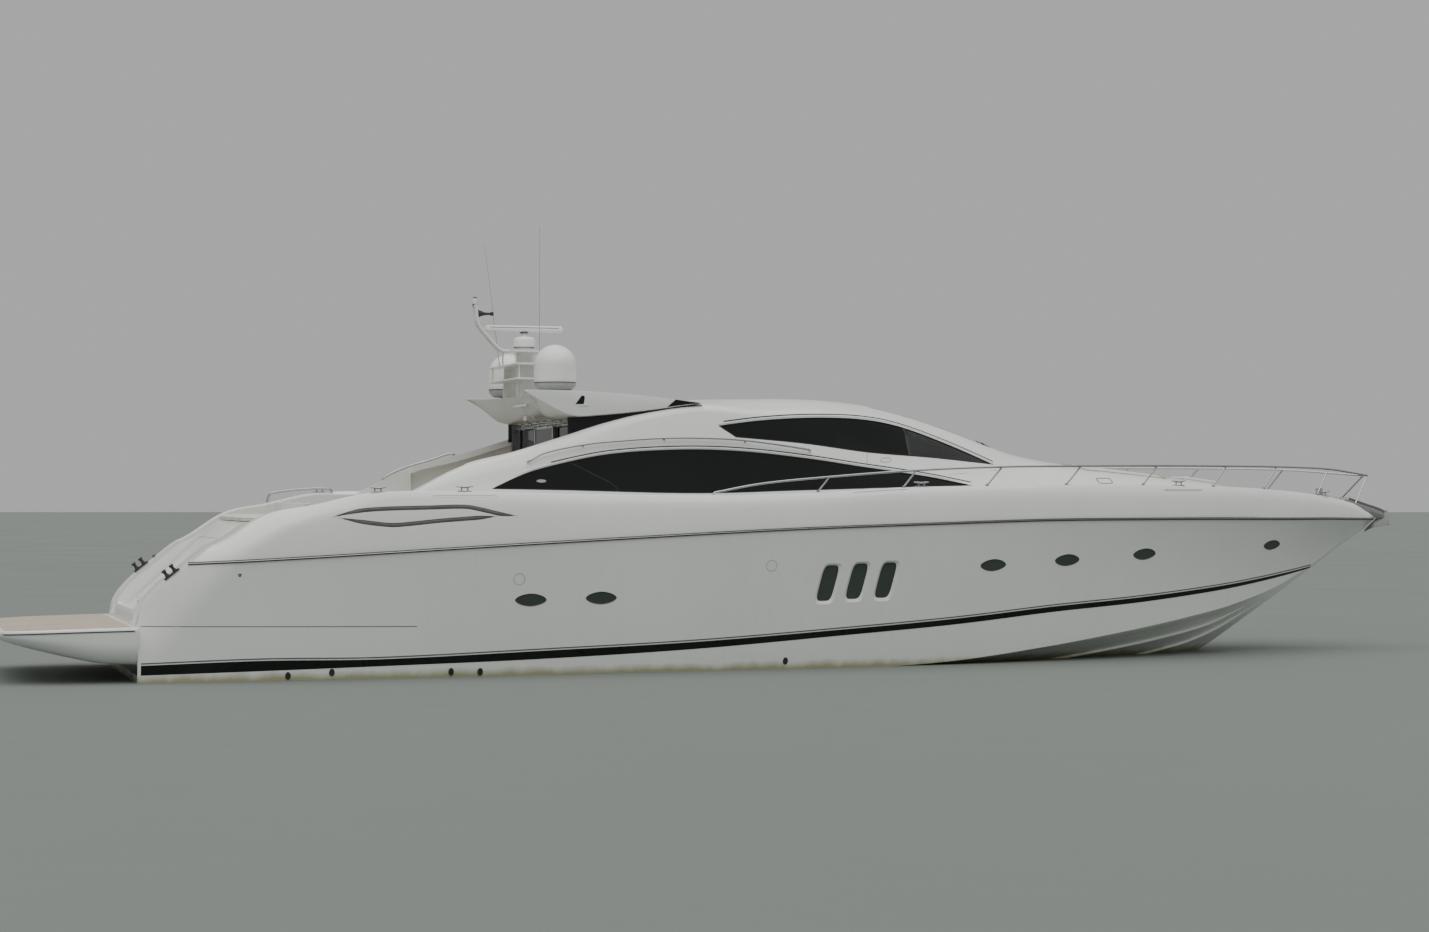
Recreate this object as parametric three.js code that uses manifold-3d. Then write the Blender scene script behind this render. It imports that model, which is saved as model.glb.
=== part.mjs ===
// Motor yacht with an arched hardtop, about 25 m long.
// Millimetres. +X is forward, +Y is port, +Z is up.
// The origin is amidships on the centreline, at the waterline.
import * as THREE from 'three';
import { mergeVertices } from 'three/addons/utils/BufferGeometryUtils.js';
import Module from 'manifold-3d';

const wasm = await Module();
wasm.setup();

// Driving sizes
const GAP = 0.5;              // between mouldings that rest on each other
const CAMBER = 1;             // rise of a flat face at the centreline
const CLEAR = 8;              // round pieces that move
const SOLE_TOP = 1950;        // cockpit and saloon floor
const SOLE_THICK = 50;
const WELL_HALF = 1980;       // half-breadth of the cockpit and the saloon well
const WELL_AFT = -7600;
const WELL_FWD = 3100;
const SADDLE = 5200;          // where the house ends and the foredeck trunk begins
const ROOF_AFT = -1050;       // where the roof ends and the arch begins
const BULKHEAD = -3200;       // aft face of the saloon bulkhead
const STERN = -10250;
const STERN_LEVEL = 870;      // where the stern moulding stands on the hull
const BOW = 13000;
const BEAM = 4000;            // more than the half-breadth, for cuts
const FAR = 16000;            // more than the length, for cuts
const WALL = 90;
const ROOF_THICK = 175;

// Hull lines. Columns: x, keel height, chine half-breadth and height, knuckle half-breadth and height
const HULL_LINES = [
  [-10250, -700, 2300, -100, 2530, 1790],
  [-8000, -760, 2390, -110, 2720, 1895],
  [-4000, -850, 2440, -110, 2880, 2115],
  [0, -900, 2420, -60, 2920, 2310],
  [3000, -880, 2330, 40, 2880, 2405],
  [5000, -800, 2160, 245, 2715, 2452],
  [7000, -600, 1880, 520, 2430, 2459],
  [8500, -310, 1520, 755, 2085, 2457],
  [9270, 0, 1290, 900, 1850, 2450],
  [10370, 668, 880, 1180, 1460, 2442],
  [11440, 1348, 420, 1580, 1000, 2438],
  [12310, 1925, 130, 2030, 550, 2426],
  [12780, 2207, 60, 2260, 270, 2420],
  [13000, 2380, 25, 2400, 60, 2418],
];

// Deck lines. Columns: x, edge height, side deck height, trunk side half-breadth, trunk top half-breadth,
// crown height
const DECK_LINES = [
  [-10250, 2000, 1990, 1500, 1000, 1990],
  [-9130, 2095, 2085, 1500, 1000, 2085],
  [-8300, 2575, 2560, 1500, 1000, 2560],
  [-7550, 2730, 2715, 1500, 1000, 2715],
  [-6870, 2885, 2860, 1500, 1000, 2860],
  [-6240, 2935, 2880, 1500, 1000, 2880],
  [-5200, 2930, 2860, 1500, 1000, 2860],
  [-3600, 2900, 2830, 1500, 1000, 2830],
  [-1200, 2875, 2805, 1500, 1000, 2805],
  [700, 2924, 2845, 1500, 1000, 2845],
  [2220, 3000, 2900, 1500, 1000, 2900],
  [3770, 3030, 2930, 1500, 1000, 2930],
  [5200, 3050, 2950, 1500, 1000, 2950],
];
const TRUNK_LINES = [
  [5200, 3050, 2950, 1800, 1000, 3645],
  [6000, 3051, 2955, 1640, 1030, 3487],
  [7000, 3047, 2950, 1430, 980, 3362],
  [8500, 3023, 2930, 1090, 730, 3195],
  [9760, 2980, 2890, 800, 520, 3035],
  [11220, 2871, 2790, 460, 300, 2870],
  [12300, 2720, 2660, 190, 120, 2760],
  [12780, 2560, 2520, 80, 50, 2540],
  [13000, 2475, 2465, 20, 10, 2468],
];

// House lines. Columns: x, base half-breadth, waist half-breadth and height, eave half-breadth and height,
// shoulder half-breadth and height, crown height
const HOUSE_LINES = [
  [-6000, 2330, 2325, 2895, 2320, 2915, 1500, 2920, 2925],
  [-5090, 2345, 2275, 3190, 2150, 3362, 1500, 3372, 3377],
  [-4280, 2360, 2215, 3370, 2100, 3571, 1500, 3581, 3586],
  [-3460, 2375, 2200, 3590, 2085, 3824, 1500, 3834, 3839],
  [-2770, 2380, 2195, 3700, 2080, 4044, 1500, 4064, 4069],
  [-2070, 2380, 2190, 3745, 2065, 4219, 1400, 4260, 4270],
  [-1090, 2380, 2185, 3765, 2015, 4365, 1200, 4460, 4480],
  [0, 2355, 2160, 3690, 1930, 4290, 1200, 4497, 4527],
  [1000, 2330, 2110, 3560, 1830, 4300, 1150, 4508, 4545],
  [2000, 2290, 2040, 3400, 1720, 4210, 1080, 4450, 4500],
  [3000, 2180, 1920, 3260, 1580, 3960, 950, 4275, 4338],
  [4000, 2020, 1730, 3180, 1420, 3640, 800, 4005, 4068],
  [4600, 1920, 1600, 3160, 1330, 3450, 720, 3795, 3858],
  [4950, 1850, 1530, 3150, 1290, 3365, 680, 3670, 3733],
  [5200, 1800, 1480, 3130, 1250, 3330, 650, 3600, 3650],
];

// Smooth reading of one column of a table against its first column
function column(table, index) {
  const slope = (i) => {
    const a = table[Math.max(i - 1, 0)];
    const b = table[Math.min(i + 1, table.length - 1)];
    return (b[index] - a[index]) / (b[0] - a[0]);
  };
  return (x) => {
    let i = 0;
    while (i < table.length - 2 && x > table[i + 1][0]) i += 1;
    const [a, b] = [table[i], table[i + 1]];
    const span = b[0] - a[0];
    const t = Math.min(Math.max((x - a[0]) / span, 0), 1);
    const [t2, t3] = [t * t, t * t * t];
    return (2 * t3 - 3 * t2 + 1) * a[index] + (t3 - 2 * t2 + t) * span * slope(i)
      + (3 * t2 - 2 * t3) * b[index] + (t3 - t2) * span * slope(i + 1);
  };
}
const columns = (table) => table[0].map((value, index) => column(table, index));
const [, keelZ, chineY, chineZ, knuckleY, knuckleZ] = columns(HULL_LINES);
const xs = (table) => table.map((row) => row[0]);

// Solids
function toSolid(geometry) {
  const bare = geometry.clone();
  bare.deleteAttribute('normal');
  bare.deleteAttribute('uv');
  const merged = mergeVertices(bare, 0.01);
  return new wasm.Manifold(new wasm.Mesh({
    numProp: 3,
    vertProperties: new Float32Array(merged.attributes.position.array),
    triVerts: new Uint32Array(merged.index.array),
  }));
}

function toGeometry(solid) {
  const mesh = solid.getMesh();
  const geometry = new THREE.BufferGeometry();
  geometry.setAttribute('position', new THREE.Float32BufferAttribute(mesh.vertProperties, 3));
  geometry.setIndex(Array.from(mesh.triVerts));
  geometry.computeVertexNormals();
  return geometry;
}

// A closed body through rings of equal length; flat names the two axes of its end faces
function loft(rings, flat = [1, 2]) {
  const count = rings[0].length;
  const index = [];
  for (let i = 0; i < rings.length - 1; i += 1) {
    for (let j = 0; j < count; j += 1) {
      const k = (j + 1) % count;
      const [a, b] = [i * count + j, i * count + k];
      index.push(a, b, b + count, a, b + count, a + count);
    }
  }
  for (const [ring, turn] of [[0, 1], [rings.length - 1, -1]]) {
    const outline = rings[ring].map((point) => new THREE.Vector2(point[flat[0]], point[flat[1]]));
    const wind = THREE.ShapeUtils.area(outline) > 0 ? 1 : -1;
    for (const face of THREE.ShapeUtils.triangulateShape(outline, [])) {
      const [a, b, c] = face.map((corner) => ring * count + corner);
      index.push(...(turn * wind > 0 ? [a, c, b] : [a, b, c]));
    }
  }
  const geometry = new THREE.BufferGeometry();
  geometry.setAttribute('position', new THREE.Float32BufferAttribute(rings.flat(2), 3));
  const outline = rings[0].map((point) => new THREE.Vector2(point[flat[0]], point[flat[1]]));
  if (THREE.ShapeUtils.area(outline) < 0) index.reverse();
  geometry.setIndex(index);
  return toSolid(geometry);
}

// A ring across the boat from its port half, which runs from the bottom centre to the top centre
const ringAcross = (x, half) => [
  ...half.map(([y, z]) => [x, y, z]),
  ...half.slice(1, -1).reverse().map(([y, z]) => [x, -y, z]),
];
const box = (x0, x1, y0, y1, z0, z1) => toSolid(
  new THREE.BoxGeometry(x1 - x0, y1 - y0, z1 - z0).translate((x0 + x1) / 2, (y0 + y1) / 2, (z0 + z1) / 2));

function extrude(points, depth) {
  const shape = new THREE.Shape(points.map(([a, b]) => new THREE.Vector2(a, b)));
  return new THREE.ExtrudeGeometry(shape, { depth, bevelEnabled: false, steps: 1 });
}
// An outline seen from the side (x, z), from y0 to y1
const sidePrism = (points, y0, y1) => toSolid(
  extrude(points, y1 - y0).rotateX(Math.PI / 2).translate(0, y1, 0));
// An outline seen from above (x, y), from z0 to z1
const planPrism = (points, z0, z1) => toSolid(extrude(points, z1 - z0).translate(0, 0, z0));
// An outline seen from astern (y, z), from x0 to x1
const crossPrism = (points, x0, x1) => toSolid(
  extrude(points, x1 - x0).rotateX(Math.PI / 2).rotateZ(Math.PI / 2).translate(x0, 0, 0));
const mirrorPlan = (half) => [...half, ...half.slice().reverse().map(([x, y]) => [x, -y])]
  .filter(([x, y], i, all) => i === 0 || x !== all[i - 1][0] || y !== all[i - 1][1]);

// A round tube through points, with its ends cut square
function tube(points, radius, steps = points.length - 1, sides = 8) {
  const path = points.length === 2
    ? new THREE.LineCurve3(...points.map((p) => new THREE.Vector3(...p)))
    : new THREE.CatmullRomCurve3(points.map((p) => new THREE.Vector3(...p)), false, 'centripetal');
  const section = new THREE.Shape();
  for (let i = 0; i < sides; i += 1) {
    const angle = 2 * Math.PI * (i + 0.5) / sides;
    section[i ? 'lineTo' : 'moveTo'](radius * Math.cos(angle), radius * Math.sin(angle));
  }
  return toSolid(new THREE.ExtrudeGeometry(section, { steps, bevelEnabled: false, extrudePath: path }));
}
const join = (...solids) => solids.reduce((sum, solid) => sum.add(solid));
const lathe = (profile, sides = 16) => toSolid(
  new THREE.LatheGeometry(profile.map(([r, z]) => new THREE.Vector2(r, z)), sides).rotateX(Math.PI / 2));

// The group and its materials
const yacht = new THREE.Group();
const finish = (color, roughness, metalness = 0, opacity = 1) => new THREE.MeshStandardMaterial(
  { color, roughness, metalness, opacity, transparent: opacity < 1 });
const GELCOAT = finish(0xe9ebea, 0.25);
const GLASS = finish(0x1c2122, 0.08, 0.2, 0.55);
const STEEL = finish(0xc8cccd, 0.2, 1);
const BRONZE = finish(0xa07a3c, 0.35, 1);
const GREY = finish(0x7c8180, 0.5);
const TEAK = finish(0x9a7650, 0.7);
const CUSHION = finish(0xe4e0d4, 0.85);
const DARK = finish(0x2a2c2d, 0.5);
const CAST = finish(0x9aa0a2, 0.5, 0.6);

function node(name, solid, material) {
  const mesh = new THREE.Mesh(toGeometry(solid), material);
  mesh.name = name;
  yacht.add(mesh);
}

// One ring round hull and deck, from the keel up the side, over the bulwark and along the deck
const FLARE = [2000, 9000];
function bodyRing(x, lines) {
  const [kz, cy, cz, ny, nz] = [keelZ, chineY, chineZ, knuckleY, knuckleZ].map((line) => line(x));
  const flare = THREE.MathUtils.smoothstep(x, ...FLARE);
  const chineFlat = Math.min(90, cy * 0.3);
  const side = (t, hollow) => [cy + (ny - cy) * (t - hollow * flare), cz + (nz - cz) * t];
  const [ez, dz, sideY, topY, crownZ] = lines.slice(1).map((line) => line(x));
  const inner = (offset) => ny - offset * Math.min(1, ny / 320);
  const trunkY = Math.min(sideY, inner(300));
  const trunkTop = Math.min(topY, trunkY * 0.8);
  const rise = (share, nudge) => dz + (crownZ - dz) * share + nudge;
  const chineLow = cz - 12;
  const bulwark = (offset, share) => [inner(offset), nz + (ez - nz) * share];
  return ringAcross(x, [[0, kz], [(cy - chineFlat) / 2, (kz + chineLow) / 2], [cy - chineFlat, chineLow],
    [cy, cz], side(0.3, 0.08), side(0.65, 0.1), [ny, nz], bulwark(10, 0.4), bulwark(45, 0.78),
    bulwark(120, 1), [inner(190), ez + 4], [inner(240), dz], [trunkY, dz + 2],
    [trunkTop, rise(0.72, 3)], [trunkTop * 0.5, rise(0.93, 4)], [0, rise(1, 5)]]);
}

// The transom, seen from the side: everything aft of and above this line is cut away
const TRANSOM = [[-14000, 870], [-10245, 870], [-10180, 1140], [-9930, 1450], [-9630, 1690], [-9130, 2095],
  [-8500, 2530], [-8250, 2600], [-8250, 6000], [-14000, 6000]];
const transom = sidePrism(TRANSOM, -BEAM, BEAM);

// Garage door, a slab along the sloping transom between the steps
const DOOR_LOW = [-10080, 1050];
const DOOR_TOP = [-8640, 2400];
const DOOR_THICK = 80;
const DOOR_HALF = 1380;
const doorSlope = Math.atan2(DOOR_TOP[1] - DOOR_LOW[1], DOOR_TOP[0] - DOOR_LOW[0]);
const doorOutline = (grow) => {
  const along = [Math.cos(doorSlope), Math.sin(doorSlope)];
  const inward = [Math.sin(doorSlope), -Math.cos(doorSlope)];
  const corner = ([x, z], u, v) => [x + along[0] * u + inward[0] * v, z + along[1] * u + inward[1] * v];
  const out = grow ? 400 : 0;
  const deep = DOOR_THICK + grow;
  return [corner(DOOR_LOW, -grow, -out), corner(DOOR_TOP, grow, -out), corner(DOOR_TOP, grow, deep),
    corner(DOOR_LOW, -grow, deep)];
};
const doorPocket = sidePrism(doorOutline(CLEAR), -DOOR_HALF - CLEAR, DOOR_HALF + CLEAR);
const garage = box(-10400, -7750, -1280, 1280, 1080, 2260);

// Steps from the bathing platform to the cockpit, on both sides. Columns: aft end, height
const STEP_OUT = 1960;
const STEP_IN = 1440;
const STEPS = [[-10600, 880], [-9900, 1090], [-9640, 1305], [-9380, 1520], [-9120, 1735], [-8860, SOLE_TOP]];
const STEPS_FWD = -7500;
const stepOutline = [...STEPS.flatMap(([x, z], i) => [[x, z], [STEPS[i + 1]?.[0] ?? STEPS_FWD, z]]),
  [STEPS_FWD, 3500], [STEPS[0][0], 3500]];
const sorted = (a, b) => [Math.min(a, b), Math.max(a, b)];
const stairs = (side) => sidePrism(stepOutline, ...sorted(side * STEP_IN, side * STEP_OUT));

const SOLE_LOW = SOLE_TOP - SOLE_THICK;
const QUARTER_DECK = 2450;    // height of the deck under the aft sunpad
const quarterDeck = box(-8700, WELL_AFT, -STEP_IN, STEP_IN, QUARTER_DECK, FAR);
const engineBay = box(-7300, -4100, -1850, 1850, -180, SOLE_TOP);
const without = (solid, ...tools) => tools.reduce((rest, tool) => rest.subtract(tool), solid);

// Shaft line, prop and strut on each side
const SHAFT_Y = 1050;
const PROP = { x: -8750, z: -960, radius: 430 };
const SHAFT_FWD = -6600;
const SHAFT_RISE = 0.18;
const SHAFT_R = 45;
const shaftAt = (x, side) => [x, side * SHAFT_Y, PROP.z + (x - PROP.x) * SHAFT_RISE];
const STRUT = { aft: -8480, fwd: -8200, radius: 78, bore: 49 };

function strut(side) {
  const ends = [shaftAt(STRUT.aft, side), shaftAt(STRUT.fwd, side)];
  const middle = shaftAt((STRUT.aft + STRUT.fwd) / 2, side);
  const leg = (spread) => tube([[middle[0], middle[1] + spread * 0.14, middle[2] + 58],
    [middle[0] + 60, middle[1] + spread, -300]], 32, 1, 6);
  const bore = tube([shaftAt(STRUT.aft - 60, side), shaftAt(STRUT.fwd + 60, side)], STRUT.bore, 1, 12);
  return join(tube(ends, STRUT.radius, 1, 12), leg(340), leg(-340)).subtract(bore);
}

// Hull and decks as one body: plain up to the saddle, so that the house stands on it, and with a trunk
// forward of it
const stations = [...new Set([...xs(HULL_LINES), ...xs(DECK_LINES), ...xs(TRUNK_LINES), 7750, 10900, 11900])]
  .sort((a, b) => a - b);
const aftBody = loft(stations.filter((x) => x <= SADDLE).map((x) => bodyRing(x, columns(DECK_LINES))));
const foreBody = loft(stations.filter((x) => x >= SADDLE).map((x) => bodyRing(x, columns(TRUNK_LINES))));
const body = join(aftBody, foreBody);

// It is made in five mouldings: the hull up to the sole, the stern, the side decks and the foredeck
const above = (level, aft, fwd, low = -BEAM, high = BEAM) => box(aft, fwd, low, high, level, FAR);
const hull = without(body, above(SOLE_LOW, WELL_AFT, FAR), above(STERN_LEVEL, -FAR, WELL_AFT), engineBay);
node('hull', join(hull, strut(1), strut(-1)), GELCOAT);
node('stern_moulding', without(body.intersect(above(STERN_LEVEL + GAP, -FAR, WELL_AFT - GAP)),
  transom, doorPocket, garage, stairs(1), stairs(-1), quarterDeck), GELCOAT);
const decks = body.intersect(above(SOLE_LOW + GAP, -FAR, FAR));
node('side_deck_port', decks.intersect(above(0, WELL_AFT, WELL_FWD, WELL_HALF, BEAM)), GELCOAT);
node('side_deck_stbd', decks.intersect(above(0, WELL_AFT, WELL_FWD, -BEAM, -WELL_HALF)), GELCOAT);

// Sunpad and hatch on the foredeck
const PAD = { aft: 6500, fwd: 8300, halfAft: 900, halfFwd: 640, deep: 60, proud: 20 };
const padPlan = (grow) => mirrorPlan([[PAD.aft - grow, PAD.halfAft + grow],
  [PAD.fwd + grow, PAD.halfFwd + grow]]);
const padPocket = planPrism(padPlan(6), 2900, 3700).subtract(foreBody.translate([0, 0, -PAD.deep]));
const pad = planPrism(padPlan(0), 2900, 3700).intersect(foreBody.translate([0, 0, PAD.proud]))
  .subtract(foreBody.translate([0, 0, GAP - PAD.deep]));
node('foredeck_sunpad', pad, CUSHION);

node('foredeck', without(decks.intersect(above(0, WELL_FWD + GAP, FAR)), padPocket), GELCOAT);

// Rub rail along the knuckle, round the bow
const RAIL_OUT = 28;
const RAIL_HALF = 26;
function rubRing(x, side) {
  const [y, z] = [knuckleY(x) + GAP * 2, knuckleZ(x)];
  return [[x, side * y, z - RAIL_HALF], [x, side * (y + RAIL_OUT), z - RAIL_HALF * 0.5],
    [x, side * (y + RAIL_OUT), z + RAIL_HALF * 0.5], [x, side * y, z + RAIL_HALF]];
}
const rubXs = [-9560, ...stations.filter((x) => x > -9560)];
const rubRings = [...rubXs.map((x) => rubRing(x, 1)),
  [[BOW + 2, 0, 2392], [BOW + 34, 0, 2405], [BOW + 34, 0, 2431], [BOW + 2, 0, 2444]],
  ...rubXs.slice().reverse().map((x) => rubRing(x, -1))];
node('rub_rail', loft(rubRings), GREY);

// Bathing platform. Columns: x, half-breadth, top, bottom
const PLATFORM_LINES = [
  [-12330, 1700, 800, 705],
  [-12180, 2060, 812, 640],
  [-11750, 2300, 828, 520],
  [-11200, 2390, 842, 385],
  [-10800, 2430, 850, 305],
  [-10256, 2470, 858, 270],
];
const platformRing = ([x, y, top, low]) => ringAcross(x,
  [[0, low], [y - 220, low], [y - 30, low + (top - low) * 0.4], [y, top - 40], [y - 40, top], [0, top]]);
node('bathing_platform', loft(PLATFORM_LINES.map(platformRing)), GELCOAT);

// Sole
node('sole', box(WELL_AFT + 2, WELL_FWD - 2, 2 - WELL_HALF, WELL_HALF - 2, SOLE_LOW + GAP, SOLE_TOP), TEAK);

// House
const houseLine = columns(HOUSE_LINES);
const deckTop = columns(DECK_LINES)[2];
function houseRing(x, inset, roofInset, drop) {
  const [, by, my, mz, ey, ez, cy, cz, tz] = houseLine.map((line) => line(x));
  const bz = deckTop(x) + 6 + GAP;
  const line = [[by, bz], [my, mz], [ey, ez], [cy, cz], [0, tz]];
  const normal = line.slice(1).map(([y, z], i) => {
    const [dy, dz] = [y - line[i][0], z - line[i][1]];
    const length = Math.hypot(dy, dz);
    return [dz / length, -dy / length];
  });
  const moved = line.map(([y, z], i) => {
    const depth = i > 2 ? roofInset : inset;
    const [a, b] = [normal[Math.max(i - 1, 0)], normal[Math.min(i, normal.length - 1)]];
    const scale = depth / (1 + a[0] * b[0] + a[1] * b[1]);
    return i === 4 ? [0, z - depth] : [y - (a[0] + b[0]) * scale, z - (a[1] + b[1]) * scale];
  });
  return ringAcross(x, [[0, bz - drop + CAMBER], ...(drop ? [[moved[0][0], bz - drop]] : []), ...moved]);
}
const houseXs = [...xs(HOUSE_LINES), -5500, 1500, 2500, 3500].sort((a, b) => a - b);
const houseLoft = (inset, roofInset, drop, from = -FAR, to = FAR) => loft(houseXs
  .filter((x) => x >= from && x <= to).map((x) => houseRing(x, inset, roofInset, drop)));
const outer = houseLoft(0, 0, 0);
const inner = houseLoft(WALL, ROOF_THICK, 400, -5090, 4700);
const innerAft = box(-6500, -5080, -2080, 2080, 2000, 4000);
const roofAft = box(-7000, ROOF_AFT, -1990, 1990, 2000, 6000);

// Windows, seen from the side and from above
const LOWER_WINDOW = [[-4700, 2973], [-4120, 3223], [-3430, 3406], [-2700, 3540], [-1480, 3618],
  [-420, 3594], [810, 3473], [1730, 3348], [2460, 3257], [3130, 3163], [3830, 3036], [540, 2950], [-1220, 2904],
  [-3590, 2955]];
const UPPER_WINDOW = [[-520, 3830], [-810, 4018], [20, 4118], [960, 4171], [1870, 4153], [2600, 4043],
  [3660, 3713], [4470, 3402], [3140, 3511], [1910, 3591], [720, 3732]];
const WINDSCREEN = mirrorPlan(
  [[2330, 1070], [3000, 985], [3700, 895], [4400, 790], [4780, 640], [4920, 360]]);
const shrink = (points, by) => {
  const middle = [0, 1].map((axis) => points.reduce((sum, p) => sum + p[axis], 0) / points.length);
  return points.map(([a, b]) => {
    const far = Math.hypot(a - middle[0], b - middle[1]);
    return [a + (middle[0] - a) * by / far, b + (middle[1] - b) * by / far];
  });
};
const paneBody = houseLoft(12, 12, 0).subtract(houseLoft(30, 30, 400, -5900, 5100));
const sideCut = (points, by, side) => sidePrism(by ? shrink(points, by) : points,
  ...sorted(side * 1200, side * 3000));
const screenCut = (by) => planPrism(by ? shrink(WINDSCREEN, by) : WINDSCREEN, 3150, 5000);

const SUNROOF = { aft: 450, fwd: 1600, half: 680, floor: 4394, thick: 22, lift: 7, travel: 1150 };
const roofRecess = box(SUNROOF.aft - SUNROOF.travel - 20, SUNROOF.fwd + 20,
  -SUNROOF.half - 15, SUNROOF.half + 15, SUNROOF.floor, FAR);
const roofHole = box(SUNROOF.aft + 120, SUNROOF.fwd - 120, 100 - SUNROOF.half, SUNROOF.half - 100,
  4000, FAR);

const houseCuts = [inner, innerAft, roofAft, sideCut(LOWER_WINDOW, 0, 1), sideCut(LOWER_WINDOW, 0, -1),
  sideCut(UPPER_WINDOW, 0, 1), sideCut(UPPER_WINDOW, 0, -1), screenCut(0), roofRecess, roofHole];
node('house_moulding', without(outer, ...houseCuts), GELCOAT);
for (const [label, side] of [['port', 1], ['stbd', -1]]) {
  node(`lower_side_glass_${label}`, paneBody.intersect(sideCut(LOWER_WINDOW, 4, side)), GLASS);
  node(`upper_side_glass_${label}`, paneBody.intersect(sideCut(UPPER_WINDOW, 4, side)), GLASS);
}
node('windscreen', paneBody.intersect(screenCut(4)), GLASS);
node('sunroof', box(SUNROOF.aft, SUNROOF.fwd, -SUNROOF.half, SUNROOF.half, SUNROOF.floor + SUNROOF.lift,
  SUNROOF.floor + SUNROOF.lift + SUNROOF.thick), GLASS);

// Radar arch: a wing across the boat whose swept horns end in tips, with a bowl under it.
// Columns: x and z at the centre, x and z at the horn, x and z that the bowl adds
const ARCH_POINTS = [
  [ROOF_AFT - GAP, 4470, -1090, 4398, 0, 0],
  [-2420, 4500, -2420, 4531, 0, 0],
  [-3100, 4520, -3320, 4570, 0, 0],
  [-3760, 4530, -4110, 4576, 0, 0],
  [-3750, 4512, -4105, 4556, 0, 0],
  [-3520, 4300, -3730, 4349, -85, -150],
  [-3280, 4135, -3290, 4142, -115, -48],
  [-2250, 4150, -2250, 4236, 0, -33],
  [ROOF_AFT - GAP, 4310, -1120, 4388, 0, 0],
];
// Columns: half-breadth, share of the horn's shape, share of the bowl
const ARCH_SECTIONS = [[2080, 1, 0], [1960, 0.86, 0.35], [1650, 0.5, 1], [1100, 0.2, 0.8], [0, 0, 0.5]];
const HORN_REACH = 60;        // how far the horns' tips stand out from the roof's sides
const HORN_SPAN = 3020;       // from a tip to the roof's end
function archRing(y, horn, bowl) {
  return ARCH_POINTS.map(([x0, z0, x1, z1, dx, dz]) => {
    const reach = Math.abs(y) > 2000 ? HORN_REACH * (x1 - ARCH_POINTS[3][2]) / HORN_SPAN : 0;
    return [x0 + (x1 - x0) * horn + dx * bowl, y - Math.sign(y) * reach, z0 + (z1 - z0) * horn + dz * bowl];
  });
}
const arch = loft([...ARCH_SECTIONS.map(([y, horn, bowl]) => archRing(y, horn, bowl)),
  ...ARCH_SECTIONS.slice(0, -1).reverse().map(([y, horn, bowl]) => archRing(-y, horn, bowl))], [0, 2]);
node('radar_arch', arch, GELCOAT);

// Quarter glass between the arch and the house side, inside the side's upright face
const QUARTER = [[-2000, 4300], [-3360, 4300], [-3360, 3800], [-2770, 3990], [-2070, 4165]];
for (const [label, side] of [['port', 1], ['stbd', -1]]) {
  node(`quarter_glass_${label}`, sidePrism(QUARTER, ...sorted(side * 1976, side * 1988))
    .subtract(arch.translate([0, 0, -GAP])), GLASS);
}

// Saloon bulkhead between two posts that carry the arch, with a sliding door
const mirrorCross = (half) => [...half, ...half.slice().reverse().map(([y, z]) => [-y, z])];
const bulkheadOutline = mirrorCross([[1975, SOLE_TOP + GAP], [1975, 2850], [2230, 2850], [2080, 3620],
  [1965, 3860], [1965, 4115]]);
const BULKHEAD_THICK = 60;
const POST = { aft: -3320, fwd: -3010, inside: 1845, outside: 1965, top: 4150 };
const DOORWAY = { half: 560, top: 4020, low: 2010 };
const PANE = { inside: 680, outside: 1800 };
const through = (y0, y1, z0, z1) => box(BULKHEAD - 100, BULKHEAD + 200, ...sorted(y0, y1), z0, z1);
const pane = (side, grow) => through(side * (PANE.inside - grow), side * (PANE.outside + grow),
  DOORWAY.low + 60 - grow, DOORWAY.top + grow);
const post = (side) => box(POST.aft, POST.fwd, ...sorted(side * POST.inside, side * POST.outside),
  SOLE_TOP + GAP, POST.top);
const bulkhead = join(crossPrism(bulkheadOutline, BULKHEAD, BULKHEAD + BULKHEAD_THICK), post(1), post(-1));
node('saloon_bulkhead', without(bulkhead, through(-DOORWAY.half, DOORWAY.half, DOORWAY.low, DOORWAY.top),
  pane(1, 0), pane(-1, 0), arch.translate([0, 0, -GAP])), STEEL);
for (const [label, side] of [['port', 1], ['stbd', -1]]) {
  node(`bulkhead_glass_${label}`, pane(side, -2)
    .intersect(box(BULKHEAD + 22, BULKHEAD + 36, -BEAM, BEAM, 0, FAR)), GLASS);
}
const LEAF = { half: 610, thick: 36, low: 1970, top: 4050 };
node('saloon_door', box(BULKHEAD - CLEAR - LEAF.thick, BULKHEAD - CLEAR, -LEAF.half, LEAF.half,
  LEAF.low, LEAF.top), GLASS);

// Garage door
node('garage_door', sidePrism(doorOutline(0), -DOOR_HALF, DOOR_HALF), GELCOAT);

// Aft sunpad, settee, table, bar
node('aft_sunpad', box(-8560, -7680, -1360, 1360, QUARTER_DECK + GAP, 2560), CUSHION);
node('cockpit_settee', sidePrism([[-7590, SOLE_TOP + GAP], [-7000, SOLE_TOP + GAP], [-6960, 2370],
  [-7000, 2420], [-7380, 2400], [-7430, 2760], [-7590, 2790]], -1380, 1380), CUSHION);
node('cockpit_table', join(box(-6450, -5650, -520, 520, 2630, 2670), box(-6130, -5970, -80, 80, 2000, 2640),
  box(-6250, -5850, -200, 200, SOLE_TOP + GAP, 2010)), TEAK);
node('cockpit_bar', box(-4700, -3700, -1965, -1380, SOLE_TOP + GAP, 2840), GELCOAT);

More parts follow.
